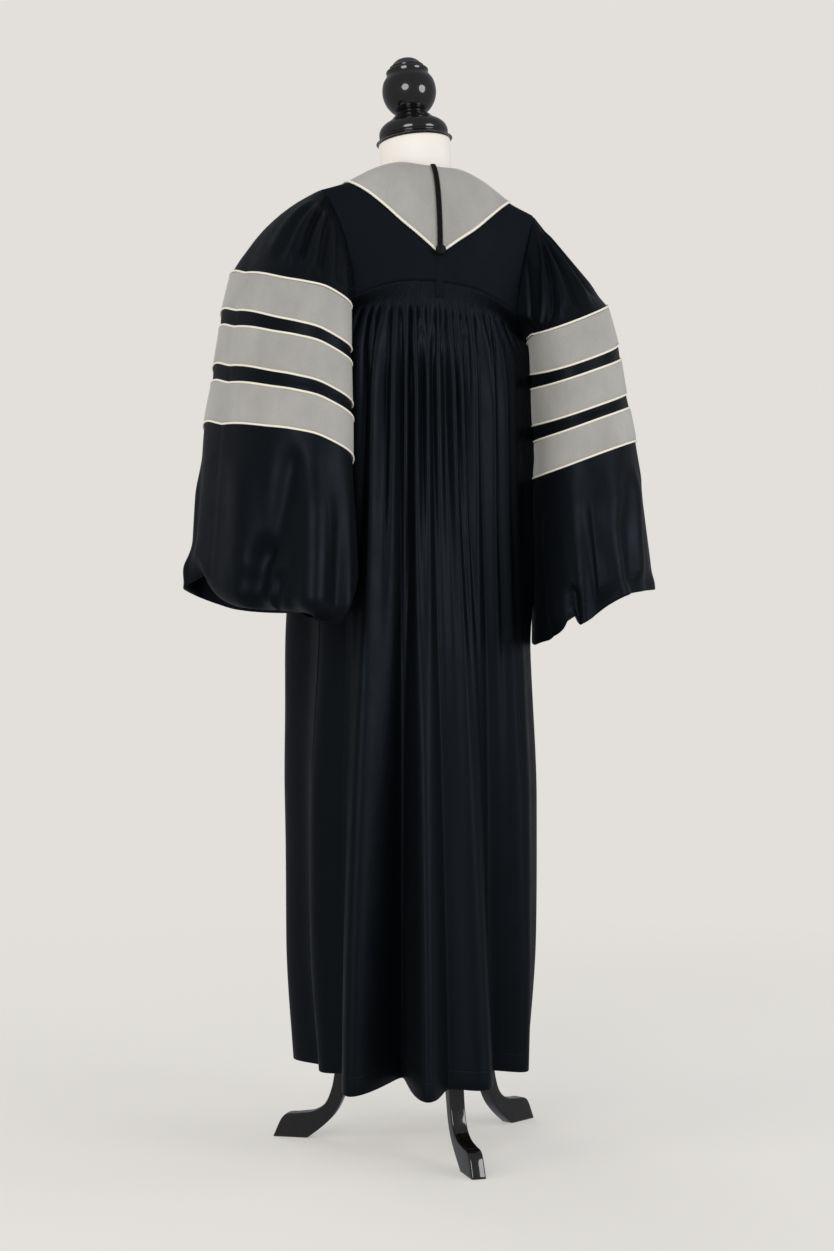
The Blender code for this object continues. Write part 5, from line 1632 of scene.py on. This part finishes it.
class GOWN_OT_stage(Operator):
    """Set the pale floor, the soft lights and the camera"""

    bl_idname = "gown.stage"
    bl_label = "Floor, lights and camera"

    def execute(self, context):
        scene = context.scene
        scene.view_settings.view_transform = "Standard"
        scene.view_settings.look = "None"
        self.floor(scene)
        self.studio(scene)
        self.lamps(scene)
        self.camera(scene)
        return {"FINISHED"}

    def floor(self, scene):
        """A round floor that glows faintly and fades into the backdrop from 0.7 to 2.6 m out."""
        glow = {"Emission Color": (*PALE, 1.0), "Emission Strength": 0.5}
        f = Finish("pale_floor", shaded(PALE, 0.58), 0.9, **{"Specular IOR Level": 0.0, **glow})
        place = f.add("TexCoord", "Object")
        away = f.add("VectorMath", "Value", {"operation": "LENGTH"}, Vector=place)
        share, clear = f.level(away, 0.7, 2.6, 0.0, 1.0), f.add("BsdfTransparent")
        faded = f.node("MixShader", values={0: share, 1: f.shader.outputs[0], 2: clear})
        f.put(f.tree.nodes["Material Output"], {"Surface": faded.outputs[0]})
        spokes, rings = 96, 26
        a = (np.arange(spokes) / spokes * 2 * np.pi)[:, None]
        r = np.linspace(0, 5.0, rings)
        points = np.stack([r * np.cos(a), r * np.sin(a), 0 * r * a], -1).reshape(-1, 3)
        faces, _ = quads_between(spokes, rings, spokes, rings - 1, np.arange(spokes + 1), r)
        mesh = bpy.data.meshes.new("floor")
        mesh.from_pydata(points.tolist(), [], faces[:, ::-1].tolist())
        mesh.materials.append(f.material)
        floor = bpy.data.objects.new("floor", mesh)
        scene.collection.objects.link(floor)
        floor.visible_glossy = False

    def studio(self, scene):
        """A pale backdrop for the camera; all other light from around is dimmer and cooler."""
        world = bpy.data.worlds.new("studio")
        world.use_nodes = True
        tree = world.node_tree
        back, out = tree.nodes["Background"], tree.nodes["World Output"]
        back.inputs["Color"].default_value = (*PALE, 1.0)
        back.inputs["Strength"].default_value = 1.0
        dim = tree.nodes.new("ShaderNodeBackground")
        dim.inputs["Color"].default_value = (0.92, 0.95, 1.0, 1.0)
        path, mix = tree.nodes.new("ShaderNodeLightPath"), tree.nodes.new("ShaderNodeMixShader")
        strength = tree.nodes.new("ShaderNodeMapRange")
        strength.inputs["To Min"].default_value = AROUND
        strength.inputs["To Max"].default_value = AROUND_GLOSSY
        tree.links.new(path.outputs["Is Glossy Ray"], strength.inputs["Value"])
        tree.links.new(strength.outputs[0], dim.inputs["Strength"])
        tree.links.new(path.outputs["Is Camera Ray"], mix.inputs[0])
        tree.links.new(dim.outputs[0], mix.inputs[1])
        tree.links.new(back.outputs[0], mix.inputs[2])
        tree.links.new(mix.outputs[0], out.inputs[0])
        scene.world = world

    def lamps(self, scene):
        """Round soft lights; the gloss shows only the two that stand behind the gown."""
        for name, at, size, power, colour, shows in LAMPS:
            lamp = bpy.data.lights.new(name, "AREA")
            lamp.shape, lamp.size, lamp.energy, lamp.color = "DISK", size, power, colour
            light = bpy.data.objects.new(name, lamp)
            light.location = at
            light.visible_glossy = shows
            x, y, z = np.array(at) - AIM
            tilt, turn = math.atan2(math.hypot(x, y), z), math.atan2(y, x) + math.pi / 2
            light.rotation_euler = (tilt, 0.0, turn)
            scene.collection.objects.link(light)

    def camera(self, scene):
        """A level camera behind the gown, round to the wearer's left."""
        view = bpy.data.cameras.new("camera")
        view.sensor_fit, view.sensor_width, view.sensor_height = "VERTICAL", 36.0, 36.0
        view.lens, view.shift_x, view.shift_y = 62.2, -0.008, 0.0116
        view.clip_end = 50.0
        camera = bpy.data.objects.new("camera", view)
        turn = math.radians(CAMERA_TURN)
        away = CAMERA_AWAY * np.array([math.sin(turn), math.cos(turn), 0.0])
        camera.location = away + PLACE + CAMERA_HIGH * UP
        camera.rotation_euler = (math.radians(90.0), 0.0, math.radians(180.0 - CAMERA_TURN))
        scene.collection.objects.link(camera)
        scene.camera = camera


class GOWN_PT_sidebar(Panel):
    """Lists the gown's sizes, colours and pieces"""

    bl_label = "Graduation gown"
    bl_idname = "GOWN_PT_sidebar"
    bl_space_type = "VIEW_3D"
    bl_region_type = "UI"
    bl_category = "Gown"

    def draw(self, context):
        scene = context.scene
        for group in (scene.gown_sizes, scene.gown_colours):
            box = self.layout.box()
            for key in group.__annotations__:
                box.prop(group, key)
        for piece in PIECES:
            self.layout.operator(piece.bl_idname)


PIECES = (
    GOWN_OT_stage,
    GOWN_OT_form,
    GOWN_OT_stand,
    GOWN_OT_yoke,
    GOWN_OT_back,
    GOWN_OT_fronts,
    GOWN_OT_sleeves,
    GOWN_OT_facings,
    GOWN_OT_bars,
    GOWN_OT_neck_piping,
    GOWN_OT_centre_back,
)
CLASSES = (GownSizes, GownColours, *PIECES, GOWN_PT_sidebar)


def register():
    """Tells Blender of the classes and gives the scene its sizes and colours."""
    for cls in CLASSES:
        bpy.utils.register_class(cls)
    bpy.types.Scene.gown_sizes = PointerProperty(type=GownSizes)
    bpy.types.Scene.gown_colours = PointerProperty(type=GownColours)


def unregister():
    """Takes them all back, last first."""
    del bpy.types.Scene.gown_colours
    del bpy.types.Scene.gown_sizes
    for cls in reversed(CLASSES):
        bpy.utils.unregister_class(cls)


def main():
    register()
    for piece in PIECES:
        group, word = piece.bl_idname.split(".")
        getattr(getattr(bpy.ops, group), word)()


if __name__ == "__main__":
    main()
